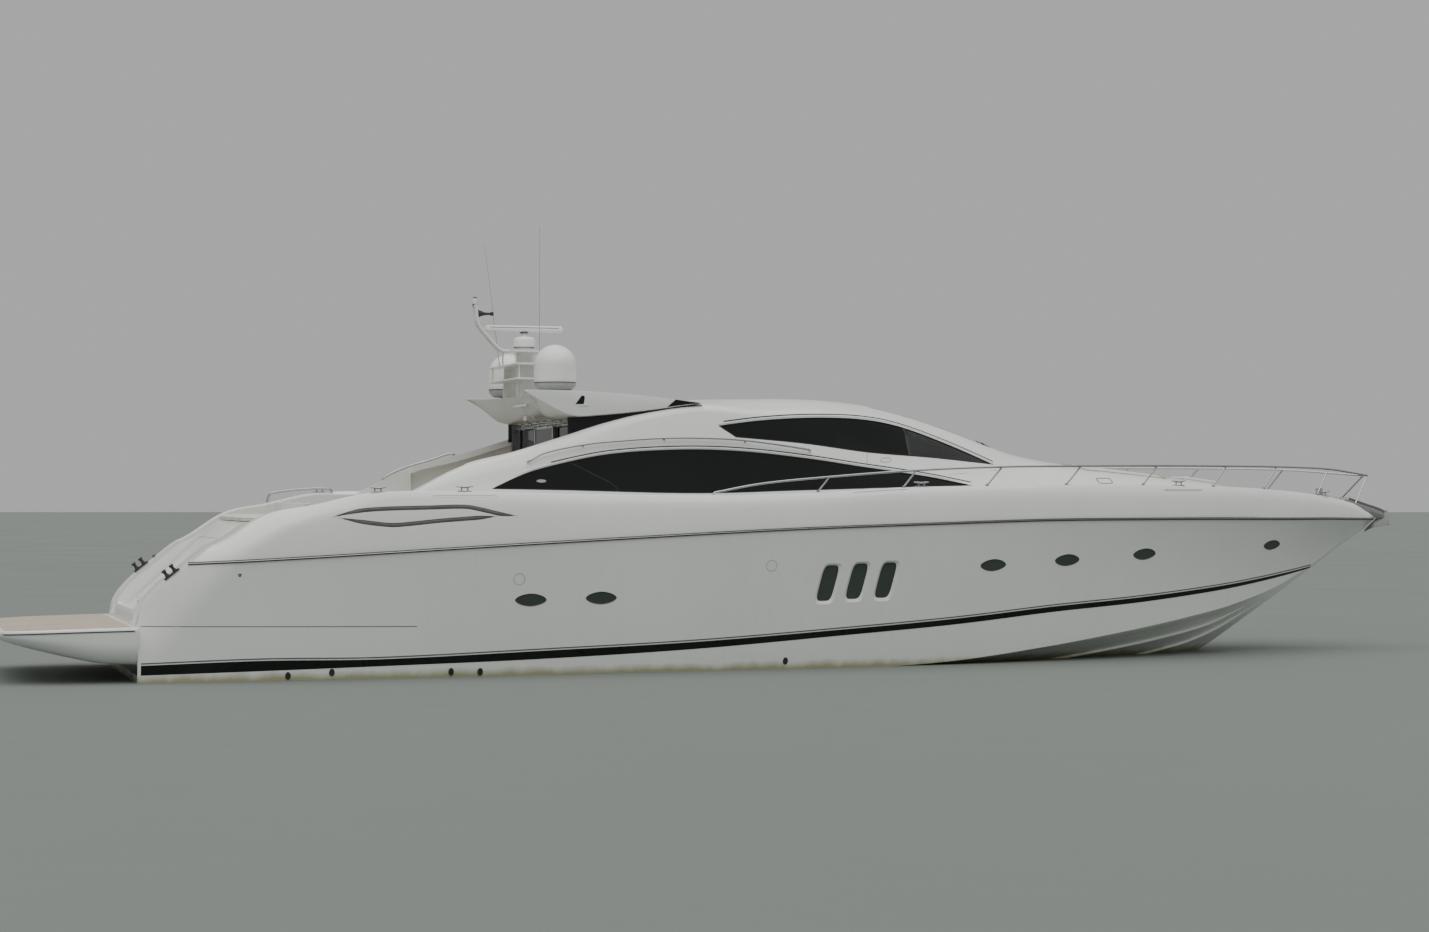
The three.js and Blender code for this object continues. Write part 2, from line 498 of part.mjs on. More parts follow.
// Helm and saloon
node('helm_console', sidePrism([[2450, SOLE_TOP + GAP], [3080, SOLE_TOP + GAP], [3080, 3080], [2800, 3100],
  [2430, 2860], [2450, 2700]], -1450, -150), DARK);
const WHEEL = { x: 2290, y: -800, z: 2930, radius: 200, rim: 17, tilt: 0.55 };
const wheel = join(toSolid(new THREE.TorusGeometry(WHEEL.radius, WHEEL.rim, 8, 20)),
  toSolid(new THREE.CylinderGeometry(45, 45, 50, 12).rotateX(Math.PI / 2)),
  ...[0, 1, 2].map((i) => toSolid(new THREE.BoxGeometry(WHEEL.radius, 34, 14)
    .translate(WHEEL.radius / 2, 0, 0).rotateZ(Math.PI / 2 + i * 2 * Math.PI / 3))));
const wheelPlace = new THREE.Matrix4().makeTranslation(WHEEL.x, WHEEL.y, WHEEL.z)
  .multiply(new THREE.Matrix4().makeRotationY(Math.PI / 2 + WHEEL.tilt));
node('helm_wheel', toSolid(toGeometry(wheel).applyMatrix4(wheelPlace)), DARK);
node('helm_seat', join(box(1250, 1800, -1250, -350, 2420, 2560), box(1150, 1290, -1250, -350, 2430, 3150),
  box(1380, 1620, -920, -680, SOLE_TOP + GAP, 2440)), CUSHION);
const sofaBench = box(-2500, 700, 1180, 1965, SOLE_TOP + GAP, 2390);
node('saloon_sofa', join(sofaBench, box(-2500, 700, 1790, 1965, 2380, 2790)), CUSHION);
node('saloon_cabinet', box(-2500, 300, -1965, -1400, SOLE_TOP + GAP, 2800), TEAK);

// Engines
for (const [label, side] of [['port', 1], ['stbd', -1]]) {
  node(`engine_${label}`, box(-6900, -4700, side * 1000 - 560, side * 1000 + 560, -100, 1250), CAST);
}

// Rails round the foredeck. Columns: x of the foot, x of the head, height of the head
const RAIL_POSTS = [[690, 890, 3172], [2220, 2455, 3285], [3770, 4070, 3349], [5330, 5630, 3369],
  [6920, 7230, 3381], [8500, 8820, 3383], [9760, 10090, 3379], [11220, 11550, 3350]];
// Columns: x, height
const RAIL_TOP = [[-1100, 2915], [-330, 3054], [890, 3172], [2455, 3285], [4070, 3349], [5630, 3369],
  [7230, 3381], [8820, 3383], [10090, 3379], [11550, 3350], [12280, 3291], [12860, 3240]];
const RAIL_R = 15;
const FOOT = 12;              // height of a post's foot over the edge
const edgeLine = (x) => Math.max(knuckleY(x) - 155, 60);
const edgeTop = (x) => (x < SADDLE ? columns(DECK_LINES)[1](x) : columns(TRUNK_LINES)[1](x));
for (const [label, side] of [['port', 1], ['stbd', -1]]) {
  const top = RAIL_TOP.map(([x, z]) => [x, side * edgeLine(x), z]);
  const foot = (x) => [x, side * edgeLine(x), edgeTop(x) + FOOT];
  const posts = RAIL_POSTS.map(([low, head, z]) => tube(
    [foot(low), [head, side * edgeLine(head), z]], RAIL_R * 0.85, 1, 6));
  const last = tube([[12860, side * edgeLine(12860), 3250], foot(12420)], RAIL_R, 1, 6);
  node(`bow_rail_${label}`, join(tube(top, RAIL_R, 26, 6), last, ...posts), STEEL);
}

// Handrails on the house sides. Columns: x, height
const HAND_TOP = [[-4080, 3422], [-3850, 3537], [-3160, 3689], [-2470, 3760], [-1780, 3804], [-1080, 3809],
  [-370, 3774], [780, 3622]];
for (const [label, side] of [['port', 1], ['stbd', -1]]) {
  const off = (x, distance) => side * (houseLine[2](x) + distance);
  const posts = [-3850, -2470, -1080, 780].map((x) => {
    const z = HAND_TOP.find((row) => row[0] === x)[1];
    return tube([[x, off(x, 60), z], [x, off(x, 6), z - 10]], 12, 1, 6);
  });
  const rail = tube(HAND_TOP.map(([x, z]) => [x, off(x, 60), z]), 14, 14, 6);
  node(`house_handrail_${label}`, join(rail, ...posts), STEEL);
}

// Bow roller, anchor and windlass
const ROLLER = [[12450, 2650], [12820, 2500], [13030, 2440], [13200, 2420], [13240, 2513], [12450, 2790]];
node('bow_roller', sidePrism(ROLLER, -75, 75).subtract(foreBody.translate([1, 0, 2])), STEEL);
const ANCHOR_SHANK = [[12480, 2787], [13255, 2522], [13300, 2380], [13350, 2380], [13330, 2560],
  [13260, 2600], [12480, 2825]];
const ANCHOR_PLOUGH = [[13080, 2170], [13400, 2400], [13330, 2430], [13190, 2340]];
node('anchor', join(sidePrism(ANCHOR_SHANK, -14, 14), sidePrism(ANCHOR_PLOUGH, -150, 150)), STEEL);
node('windlass', lathe([[0, 0], [90, 0], [90, 140], [60, 160], [70, 210], [0, 210]], 12)
  .translate([11850, 0, 2780]).subtract(foreBody.translate([0, 0, 2])), STEEL);

// Mast with two shelves and a radar post, a light pole aft of it, and a whip aerial on each end
// of the upper shelf
const MAST_X = -3580;
const SHELF = { aft: -3960, fwd: -3420, half: 1000, low: 4790, high: 5035, thick: 32 };
const shelf = (z, aft, fwd, half) => box(aft, fwd, -half, half, z, z + SHELF.thick);
const cheek = (y) => box(-3800, -3440, ...sorted(y, y + Math.sign(y) * 30), 4600, SHELF.high + 5);
const polePoints = (y) => [[-3700, y, 5300], [-4000, y, 5300], [-4400, y, 5740], [-4430, y, 6080]];
const pole = (y) => join(...polePoints(y).slice(1).map((p, i) => tube([polePoints(y)[i], p], 20, 1, 8)));
const legs = crossPrism([[-170, 4300], [170, 4300], [120, 5290], [-120, 5290]], MAST_X - 130, MAST_X + 150)
  .intersect(box(-5000, 0, -900, 900, 4534, 6000));
const radarPost = lathe([[0, 5370], [170, 5370], [190, 5400], [190, 5500], [150, 5550], [40, 5560],
  [40, 5600], [0, 5600]], 16).translate([MAST_X, 0, 0]);
const light = lathe([[0, 6050], [45, 6050], [45, 6090], [38, 6100], [38, 6190], [20, 6210], [0, 6210]], 12)
  .translate([-4430, 0, 0]);
// Columns: foot, head
const WHIPS = [[[-3564, -975, 5060], [-3564, -975, 7330]], [[-3760, 975, 5060], [-4030, 975, 7190]]];
node('mast_frame', join(legs, shelf(SHELF.low, SHELF.aft, SHELF.fwd, SHELF.half),
  shelf(SHELF.high, SHELF.aft, SHELF.fwd, SHELF.half), cheek(590), cheek(-590),
  shelf(5275, -3900, -3330, 520),
  box(MAST_X - 130, MAST_X + 130, -130, 130, 5300, 5380), radarPost, pole(60), pole(-60),
  box(-4440, -4420, -60, 60, 6020, 6060), light, ...WHIPS.map((whip) => tube(whip, 11, 1, 6))), GELCOAT);
const SCANNER = { half: 680, wide: 60, low: 5632, top: 5740 };
node('radar_scanner', box(MAST_X - SCANNER.half, MAST_X + SCANNER.half, -SCANNER.wide, SCANNER.wide,
  SCANNER.low, SCANNER.top), GELCOAT);

// Satellite domes
const DOME = { x: -3460, y: 1580, radius: 345, low: 4585, straight: 4990 };
const domeProfile = [[0, DOME.low], [250, DOME.low], [DOME.radius, DOME.low + 60],
  [DOME.radius, DOME.straight],
  ...[0.25, 0.5, 0.75].map((t) => [DOME.radius * Math.cos(t * Math.PI / 2),
    DOME.straight + DOME.radius * Math.sin(t * Math.PI / 2)]),
  [0, DOME.straight + DOME.radius]];
for (const [label, side] of [['port', 1], ['stbd', -1]]) {
  node(`satellite_dome_${label}`, lathe(domeProfile, 20).translate([DOME.x, side * DOME.y, 0]), GELCOAT);
}

// Foredeck hatch
const HATCH = { aft: 8850, fwd: 9550, half: 300, thick: 40 };
const crown = columns(TRUNK_LINES)[5];
const hatchTilt = Math.atan2(crown(HATCH.fwd) - crown(HATCH.aft), HATCH.fwd - HATCH.aft);
const hatchLow = crown(HATCH.aft) + 22;
const hatchLong = HATCH.fwd - HATCH.aft;
node('foredeck_hatch', toSolid(new THREE.BoxGeometry(hatchLong, 2 * HATCH.half, HATCH.thick)
  .translate(hatchLong / 2, 0, HATCH.thick / 2).rotateY(-hatchTilt)
  .translate(HATCH.aft, 0, hatchLow)), GLASS);

// Propellers with their shafts
const PROP_PITCH = 0.62;
const shaftTurn = new THREE.Matrix4().makeRotationY(-Math.atan(SHAFT_RISE));
for (const [label, side] of [['port', 1], ['stbd', -1]]) {
  const blades = [0, 1, 2, 3, 4].map((i) => {
    const blade = new THREE.Shape();
    blade.moveTo(0, -70);
    blade.bezierCurveTo(220, -190, 400, -200, PROP.radius, 0);
    blade.bezierCurveTo(400, 190, 220, 170, 0, 70);
    return toSolid(new THREE.ExtrudeGeometry(blade, { depth: 16, bevelEnabled: false, curveSegments: 5 })
      .translate(0, 0, -8).rotateX(side * PROP_PITCH).translate(30, 0, 0).rotateZ(i * 2 * Math.PI / 5));
  });
  const hub = lathe([[0, -150], [50, -110], [75, 0], [70, 130], [0, 130]], 12);
  const screw = toGeometry(join(hub, ...blades)).rotateY(Math.PI / 2).applyMatrix4(shaftTurn)
    .translate(...shaftAt(PROP.x, side));
  const shaft = tube([shaftAt(PROP.x, side), shaftAt(SHAFT_FWD, side)], SHAFT_R, 1, 12);
  node(`propeller_${label}`, join(toSolid(screw), shaft), BRONZE);
}

// Rudders
const RUDDER = { x: -9450, top: -540, low: -1290, thick: 60 };
for (const [label, side] of [['port', 1], ['stbd', -1]]) {
  const outline = [[240, 0], [120, RUDDER.thick / 2], [-320, 8], [-320, -8], [120, -RUDDER.thick / 2]];
  const plan = outline.map(([x, y]) => [x + RUDDER.x, y + side * SHAFT_Y]);
  const blade = planPrism(plan, RUDDER.low, RUDDER.top);
  const stock = toSolid(new THREE.CylinderGeometry(34, 34, 120, 12).rotateX(Math.PI / 2)
    .translate(RUDDER.x, side * SHAFT_Y, RUDDER.top + 30));
  node(`rudder_${label}`, join(blade, stock), BRONZE);
}

// Trim tabs under the transom
const TAB = { inside: 1250, outside: 2050, long: 480, thick: 14 };
const transomSlope = Math.atan2(600, 2210);
const tabHeight = (y) => -700 + y * Math.tan(transomSlope);
const tabY = (TAB.inside + TAB.outside) / 2;
for (const [label, side] of [['port', 1], ['stbd', -1]]) {
  const plate = new THREE.BoxGeometry(TAB.long, TAB.outside - TAB.inside, TAB.thick)
    .translate(-TAB.long / 2, 0, 0).rotateX(side * transomSlope)
    .translate(STERN - 25, side * tabY, tabHeight(tabY) + 24);
  node(`trim_tab_${label}`, toSolid(plate), STEEL);
}

export default yacht;
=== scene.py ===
"""Looks of the motor yacht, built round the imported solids. Metres; +X forward, +Y port, +Z up."""
import math

import bmesh
import bpy
from mathutils import Matrix, Vector
from mathutils.bvhtree import BVHTree


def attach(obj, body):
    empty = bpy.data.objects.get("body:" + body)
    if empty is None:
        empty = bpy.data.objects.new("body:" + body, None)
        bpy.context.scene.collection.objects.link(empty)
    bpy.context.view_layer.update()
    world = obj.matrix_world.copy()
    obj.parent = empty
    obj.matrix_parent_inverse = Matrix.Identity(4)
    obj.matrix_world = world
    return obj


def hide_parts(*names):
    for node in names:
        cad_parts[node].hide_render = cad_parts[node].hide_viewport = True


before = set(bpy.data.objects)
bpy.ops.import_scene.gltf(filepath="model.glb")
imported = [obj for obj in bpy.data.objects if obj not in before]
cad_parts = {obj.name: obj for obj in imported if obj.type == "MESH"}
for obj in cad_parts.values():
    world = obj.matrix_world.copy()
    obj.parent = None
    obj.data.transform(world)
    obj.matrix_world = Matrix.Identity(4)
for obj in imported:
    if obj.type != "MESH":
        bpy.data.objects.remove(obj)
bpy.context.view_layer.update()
SIDES = (("port", 1), ("stbd", -1))


# Camera at the photograph's viewing angle. Its size, horizon and focal length are in pixels
PHOTO = (1429, 932)
HORIZON = 493.392
FOCAL = 2576.31
SENSOR = 36
camera_data = bpy.data.cameras.new("camera")
camera = bpy.data.objects.new("camera", camera_data)
bpy.context.collection.objects.link(camera)
camera.location = (-14.437, -42.409, 2.901)
camera.rotation_euler = (math.radians(90), 0, math.radians(-18.588))
camera_data.sensor_width = SENSOR
camera_data.lens = FOCAL / PHOTO[0] * SENSOR
camera_data.shift_y = (HORIZON - PHOTO[1] / 2) / PHOTO[0]
camera_data.clip_end = 400
bpy.context.scene.camera = camera


# Reading of tables and curves
def column(table, index):
    """A smooth function through one column of a table, read by its first column."""
    def slope(i):
        a, b = table[max(i - 1, 0)], table[min(i + 1, len(table) - 1)]
        return (b[index] - a[index]) / (b[0] - a[0])

    def read(x):
        i = 0
        while i < len(table) - 2 and x > table[i + 1][0]:
            i += 1
        a, b = table[i], table[i + 1]
        span = b[0] - a[0]
        t = min(max((x - a[0]) / span, 0), 1)
        return ((2 * t**3 - 3 * t**2 + 1) * a[index] + (t**3 - 2 * t**2 + t) * span * slope(i)
                + (3 * t**2 - 2 * t**3) * b[index] + (t**3 - t**2) * span * slope(i + 1))
    return read


def columns(table):
    """One such function for each column after the first."""
    return [column(table, index) for index in range(1, len(table[0]))]


def metres(*rows):
    """A table in metres from rows in millimetres."""
    return [[value / 1000 for value in row] for row in rows]


def smoothstep(x, low, high):
    t = min(max((x - low) / (high - low), 0), 1)
    return t * t * (3 - 2 * t)


def steps(low, high, step):
    """Even places from low to high, about step apart."""
    count = max(1, round((high - low) / step))
    return [low + (high - low) * i / count for i in range(count + 1)]


def smooth(points, per=6):
    """A curve through points of any dimension, with per spans between each two of them."""
    points = [tuple(p) for p in points]
    ends = [tuple(2 * a - b for a, b in zip(points[0], points[1]))] + points + [
        tuple(2 * a - b for a, b in zip(points[-1], points[-2]))]
    out = []
    for p0, p1, p2, p3 in zip(ends, ends[1:], ends[2:], ends[3:]):
        knots = [0]
        for a, b in ((p0, p1), (p1, p2), (p2, p3)):
            knots.append(knots[-1] + max(math.dist(a, b), 1e-6) ** 0.5)
        t0, t1, t2, t3 = knots
        for i in range(per):
            t = t1 + (t2 - t1) * i / per
            mix = lambda a, b, ta, tb: tuple(
                (tb - t) / (tb - ta) * u + (t - ta) / (tb - ta) * v for u, v in zip(a, b))
            a1, a2, a3 = mix(p0, p1, t0, t1), mix(p1, p2, t1, t2), mix(p2, p3, t2, t3)
            out.append(mix(mix(a1, a2, t0, t2), mix(a2, a3, t1, t3), t1, t2))
    return out + [points[-1]]


def rounded(points, radii, per=4):
    """Points with their inner corners rounded; every corner gives per + 1 points."""
    out = [tuple(points[0])]
    for i in range(1, len(points) - 1):
        a, b, c = (Vector(p) for p in points[i - 1:i + 2])
        radius = radii[i - 1]
        before = b + (a - b).normalized() * min(radius, (a - b).length * 0.48)
        after = b + (c - b).normalized() * min(radius, (c - b).length * 0.48)
        for k in range(per + 1):
            t = k / per
            out.append(tuple(before * (1 - t) ** 2 + b * 2 * t * (1 - t) + after * t * t))
    return out + [tuple(points[-1])]


def round_box(a0, a1, b0, b1, radius, per=4):
    """A rectangle's outline with rounded corners."""
    middle = ((a0 + a1) / 2, b0)
    return rounded([middle, (a1, b0), (a1, b1), (a0, b1), (a0, b0), middle], [radius] * 4, per)[:-1]


def both_halves(half):
    """A closed outline from its port half, which starts and ends on the centreline."""
    return half + [(x, -y) for x, y in half[-2:0:-1]]


def turns(count):
    """Angles that part a full turn evenly."""
    return [2 * math.pi * i / count for i in range(count)]


def read_line(points, at):
    """The first number of a line of pairs, where the second one reaches a value."""
    for (v0, p0), (v1, p1) in zip(points, points[1:]):
        if at <= p1:
            return v0 + (v1 - v0) * (at - p0) / max(p1 - p0, 1e-6)
    return points[-1][0]


def crossings(outline, at):
    """The second number of a closed outline of pairs, wherever the first one passes a value."""
    return [v0 + (v1 - v0) * (at - p0) / (p1 - p0)
            for (p0, v0), (p1, v1) in zip(outline, outline[1:] + outline[:1])
            if min(p0, p1) <= at <= max(p0, p1) and abs(p1 - p0) > 1e-9]


def oval(cx, cz, wide, high, count=36, power=2.0, lean=0.0):
    """A rounded outline; power 2 is an ellipse, and a larger one is squarer. lean slants it."""
    out = []
    for angle in turns(count):
        u = math.copysign(abs(math.cos(angle)) ** (2 / power), math.cos(angle)) * wide / 2
        v = math.copysign(abs(math.sin(angle)) ** (2 / power), math.sin(angle)) * high / 2
        out.append((cx + u + lean * v, cz + v))
    return out


# Meshes
def mesh_object(name, verts, faces):
    mesh = bpy.data.meshes.new(name)
    mesh.from_pydata([tuple(v) for v in verts], [], faces)
    return link(name, mesh)


def link(name, mesh):
    obj = bpy.data.objects.new(name, mesh)
    bpy.context.collection.objects.link(obj)
    return obj


def from_bmesh(name, bm):
    bmesh.ops.recalc_face_normals(bm, faces=bm.faces)
    mesh = bpy.data.meshes.new(name)
    bm.to_mesh(mesh)
    bm.free()
    return link(name, mesh)


def edit(obj, work):
    """Lets work change obj's mesh."""
    bm = bmesh.new()
    bm.from_mesh(obj.data)
    work(bm)
    bm.to_mesh(obj.data)
    bm.free()
    return obj


def bevel(obj, width, segments=2, angle=35):
    """Rounds the edges of obj that are sharper than angle."""
    def work(bm):
        sharp = [e for e in bm.edges if e.is_manifold and e.calc_face_angle() > math.radians(angle)]
        bmesh.ops.bevel(bm, geom=sharp, offset=width, segments=segments, affect="EDGES",
                        clamp_overlap=True, profile=0.6)
    return edit(obj, work)


def loft(name, rings, loop=False):
    """A solid through closed rings of equal count: capped at both ends, or with loop closed on itself."""
    count = len(rings[0])
    faces = []
    for i in range(len(rings) if loop else len(rings) - 1):
        k = (i + 1) % len(rings)
        for j in range(count):
            m = (j + 1) % count
            faces.append((i * count + j, i * count + m, k * count + m, k * count + j))
    if not loop:
        faces.append(tuple(range(count)))
        faces.append(tuple(range((len(rings) - 1) * count, len(rings) * count)))
    obj = mesh_object(name, [p for ring in rings for p in ring], faces)

    def work(bm):
        bmesh.ops.remove_doubles(bm, verts=bm.verts, dist=1e-6)
        bmesh.ops.recalc_face_normals(bm, faces=bm.faces)
    return edit(obj, work)


def block(name, low, high, round_by=0.0, segments=3):
    bm = bmesh.new()
    bmesh.ops.create_cube(bm, size=1)
    for vert in bm.verts:
        vert.co = Vector(l + (h - l) * (c + 0.5) for l, h, c in zip(low, high, vert.co))
    obj = from_bmesh(name, bm)
    return bevel(obj, round_by, segments) if round_by else obj


def prism(name, outline, low, high, axis="y", round_by=0.0, segments=3):
    """outline is (x, z) for axis y, (x, y) for axis z and (y, z) for axis x."""
    place = {"x": lambda a, b, d: (d, a, b), "y": lambda a, b, d: (a, d, b),
             "z": lambda a, b, d: (a, b, d)}[axis]
    obj = loft(name, [[place(a, b, depth) for a, b in outline] for depth in (low, high)])
    return bevel(obj, round_by, segments) if round_by else obj


def side_prism(name, outline, side, near, far, *more):
    """A prism along Y on one side of the boat, between two half-breadths."""
    return prism(name, outline, *sorted((side * near, side * far)), *more)


def frames(points, closed=False):
    """Two unit vectors across the path at each point, carried along it without twist."""
    points = [Vector(p) for p in points]
    count = len(points)
    tangents = []
    for i in range(count):
        a = points[i - 1] if i or closed else points[0]
        b = points[(i + 1) % count] if i < count - 1 or closed else points[-1]
        tangents.append((b - a).normalized())
    side = tangents[0].cross(Vector((0, 0, 1)))
    if side.length < 0.1:
        side = tangents[0].cross(Vector((0, 1, 0)))
    out = []
    for tangent in tangents:
        side = (side - tangent * side.dot(tangent)).normalized()
        out.append((side.copy(), tangent.cross(side).normalized()))
    return out


def tube(name, points, radius, sides=10, closed=False, flat=1.0):
    """A round or flattened tube; radius is one number, or one for each point."""
    radii = radius if isinstance(radius, (list, tuple)) else [radius] * len(points)
    rings = []
    for point, (side, up), r in zip(points, frames(points, closed), radii):
        rings.append([tuple(Vector(point) + side * math.cos(a) * r + up * math.sin(a) * r * flat)
                      for a in turns(sides)])
    return loft(name, rings, loop=closed)


def lathe(name, profile, place=(0, 0, 0), axis=(0, 0, 1), sides=40):
    """profile is (radius, height) from one end of the axis to the other."""
    turn = Vector((0, 0, 1)).rotation_difference(Vector(axis)).to_matrix()
    rings = []
    for r, z in profile:
        r = max(r, 1e-5)
        rings.append([tuple(Vector(place) + turn @ Vector((r * math.cos(a), r * math.sin(a), z)))
                      for a in turns(sides)])
    return loft(name, rings)


def boolean(obj, cutter, operation="DIFFERENCE"):
    """Cuts obj with cutter, which is used up."""
    modifier = obj.modifiers.new("cut", "BOOLEAN")
    modifier.operation = operation
    modifier.solver = "MANIFOLD"
    modifier.object = cutter
    bpy.context.view_layer.update()
    result = bpy.data.meshes.new_from_object(obj.evaluated_get(bpy.context.evaluated_depsgraph_get()))
    obj.modifiers.remove(modifier)
    old = obj.data
    obj.data = result
    bpy.data.meshes.remove(old)
    bpy.data.objects.remove(cutter)
    return obj


def joined(name, objects):
    """One object from several, which are used up."""
    bm = bmesh.new()
    for obj in objects:
        obj.data.transform(obj.matrix_world)
        bm.from_mesh(obj.data)
        bpy.data.objects.remove(obj)
    mesh = bpy.data.meshes.new(name)
    bm.to_mesh(mesh)
    bm.free()
    return link(name, mesh)


def turned(obj, angle, axis, pivot):
    """obj turned round an axis through pivot."""
    pivot = Vector(pivot)
    turn = Matrix.Rotation(angle, 4, axis)
    obj.data.transform(Matrix.Translation(pivot) @ turn @ Matrix.Translation(-pivot))
    return obj


# Materials
def mix_node(tree, factor, a, b):
    node = tree.nodes.new("ShaderNodeMix")
    node.data_type = "RGBA"
    if hasattr(factor, "links"):
        tree.links.new(factor, node.inputs[0])
    else:
        node.inputs[0].default_value = factor
    for socket, value in ((node.inputs[6], a), (node.inputs[7], b)):
        if hasattr(value, "links"):
            tree.links.new(value, socket)
        else:
            socket.default_value = (*value, 1)
    return node.outputs[2]


def ramp(tree, source, low, high, out_low=0.0, out_high=1.0):
    """Source's range from low to high, stretched to another range."""
    node = tree.nodes.new("ShaderNodeMapRange")
    tree.links.new(source, node.inputs["Value"])
    node.inputs["From Min"].default_value = low
    node.inputs["From Max"].default_value = high
    node.inputs["To Min"].default_value = out_low
    node.inputs["To Max"].default_value = out_high
    return node.outputs["Result"]


def object_coords(tree):
    return tree.nodes.new("ShaderNodeTexCoord").outputs["Object"]


def noise(tree, scale, stretch=(1, 1, 1), detail=3.0):
    coords = object_coords(tree)
    mapping = tree.nodes.new("ShaderNodeMapping")
    mapping.inputs["Scale"].default_value = stretch
    tree.links.new(coords, mapping.inputs["Vector"])
    node = tree.nodes.new("ShaderNodeTexNoise")
    node.inputs["Scale"].default_value = scale
    node.inputs["Detail"].default_value = detail
    node.inputs["Roughness"].default_value = 0.55
    tree.links.new(mapping.outputs["Vector"], node.inputs["Vector"])
    return node.outputs["Fac"]


def bump(tree, shader, source, distance, strength=0.4):
    node = tree.nodes.new("ShaderNodeBump")
    node.inputs["Strength"].default_value = strength
    node.inputs["Distance"].default_value = distance
    tree.links.new(source, node.inputs["Height"])
    tree.links.new(node.outputs["Normal"], shader.inputs["Normal"])


def material(name, colour, rough, metallic=0.0, vary=0.05, scale=3.0, stretch=(1, 1, 1), grain=None, **extra):
    """A base material: two noises vary its colour and roughness, and grain is (scale, depth) of its bump."""
    made = bpy.data.materials.new(name)
    made.use_nodes = True
    tree = made.node_tree
    shader = tree.nodes["Principled BSDF"]
    dark = tuple(max(c * (1 - vary), 0) for c in colour)
    light = tuple(min(c * (1 + vary), 1) for c in colour)
    tree.links.new(mix_node(tree, ramp(tree, noise(tree, scale, stretch), 0.3, 0.7), dark, light),
                   shader.inputs["Base Color"])
    tree.links.new(ramp(tree, noise(tree, scale * 4, stretch), 0.3, 0.7, rough * 0.85, rough * 1.15),
                   shader.inputs["Roughness"])
    shader.inputs["Metallic"].default_value = metallic
    if grain:
        bump(tree, shader, noise(tree, grain[0], stretch), grain[1])
    for key, value in extra.items():
        shader.inputs[key.replace("_", " ")].default_value = value
    return made


WHITE = (0.80, 0.815, 0.782)
gelcoat = material("gelcoat", WHITE, 0.22, vary=0.02, scale=0.9, grain=(14, 0.0006),
                   Coat_Weight=0.35, Coat_Roughness=0.08)
gloss_black = material("gloss_black", (0.010, 0.011, 0.011), 0.3, vary=0.3, scale=1.4,
                       Specular_IOR_Level=0.22)
rub_grey = material("rub_grey", (0.06, 0.062, 0.058), 0.5, vary=0.25, scale=6, grain=(60, 0.0008),
                    Specular_IOR_Level=0.25)
# This dark grey draws real seams, and also painted shade: the lines above the window lips and the mouths of
# the mooring slots
seam_dark = material("seam_dark", (0.055, 0.057, 0.052), 0.6, vary=0.25, scale=9, Specular_IOR_Level=0.25)
# This grey is also painted shade inside the quarter's grooves, besides the pinstripes and the trunk vents
groove_grey = material("groove_grey", (0.13, 0.133, 0.125), 0.6, vary=0.2, scale=5, Specular_IOR_Level=0.3)
seam_pale = material("seam_pale", (0.36, 0.37, 0.36), 0.55, vary=0.12, scale=7)
antifoul = material("antifoul", (0.022, 0.035, 0.06), 0.75, vary=0.35, scale=2.2, grain=(22, 0.003))
anchor_grey = material("anchor_grey", (0.17, 0.175, 0.17), 0.5, metallic=0.35, vary=0.06, scale=6)
# Steel is darker than bare stainless: its colour holds a painted reflection of dark surroundings
steel = material("steel", (0.40, 0.41, 0.41), 0.2, metallic=1.0, vary=0.06, scale=11, grain=(90, 0.0003))
cast = material("cast", (0.36, 0.38, 0.39), 0.5, metallic=0.7, vary=0.2, scale=5, grain=(40, 0.0015))
bronze = material("bronze", (0.42, 0.27, 0.10), 0.32, metallic=1.0, vary=0.25, scale=7, grain=(24, 0.0012))
rubber = material("rubber", (0.028, 0.029, 0.03), 0.6, vary=0.3, scale=12, grain=(80, 0.0006))
plastic = material("plastic", (0.045, 0.047, 0.05), 0.38, vary=0.2, scale=10, grain=(120, 0.0004))
band_grey = material("band_grey", (0.33, 0.345, 0.34), 0.45, vary=0.1, scale=5)
dome_white = material("dome_white", (0.86, 0.87, 0.845), 0.34, vary=0.025, scale=3, grain=(30, 0.0004))
engine_paint = material("engine_paint", (0.40, 0.43, 0.44), 0.4, vary=0.12, scale=6, grain=(30, 0.001))
lens = material("lens", (0.78, 0.80, 0.80), 0.12, vary=0.06, scale=20, Coat_Weight=0.6)
zinc = material("zinc", (0.48, 0.5, 0.52), 0.55, metallic=0.8, vary=0.2, scale=18, grain=(60, 0.001))


def glass_material(name, colour, **extra):
    return material(name, colour, 0.05, vary=0.12, scale=0.7, **extra)


glass_dark = glass_material("glass_dark", (0.03, 0.035, 0.033), Transmission_Weight=0.7, IOR=1.33)
glass_front = glass_material("glass_front", (0.34, 0.36, 0.35), Transmission_Weight=0.92, IOR=1.33)
glass_hull = glass_material("glass_hull", (0.05, 0.066, 0.058), Specular_IOR_Level=0.4)
screen_black = glass_material("screen_black", (0.006, 0.007, 0.008), Specular_IOR_Level=0.3)


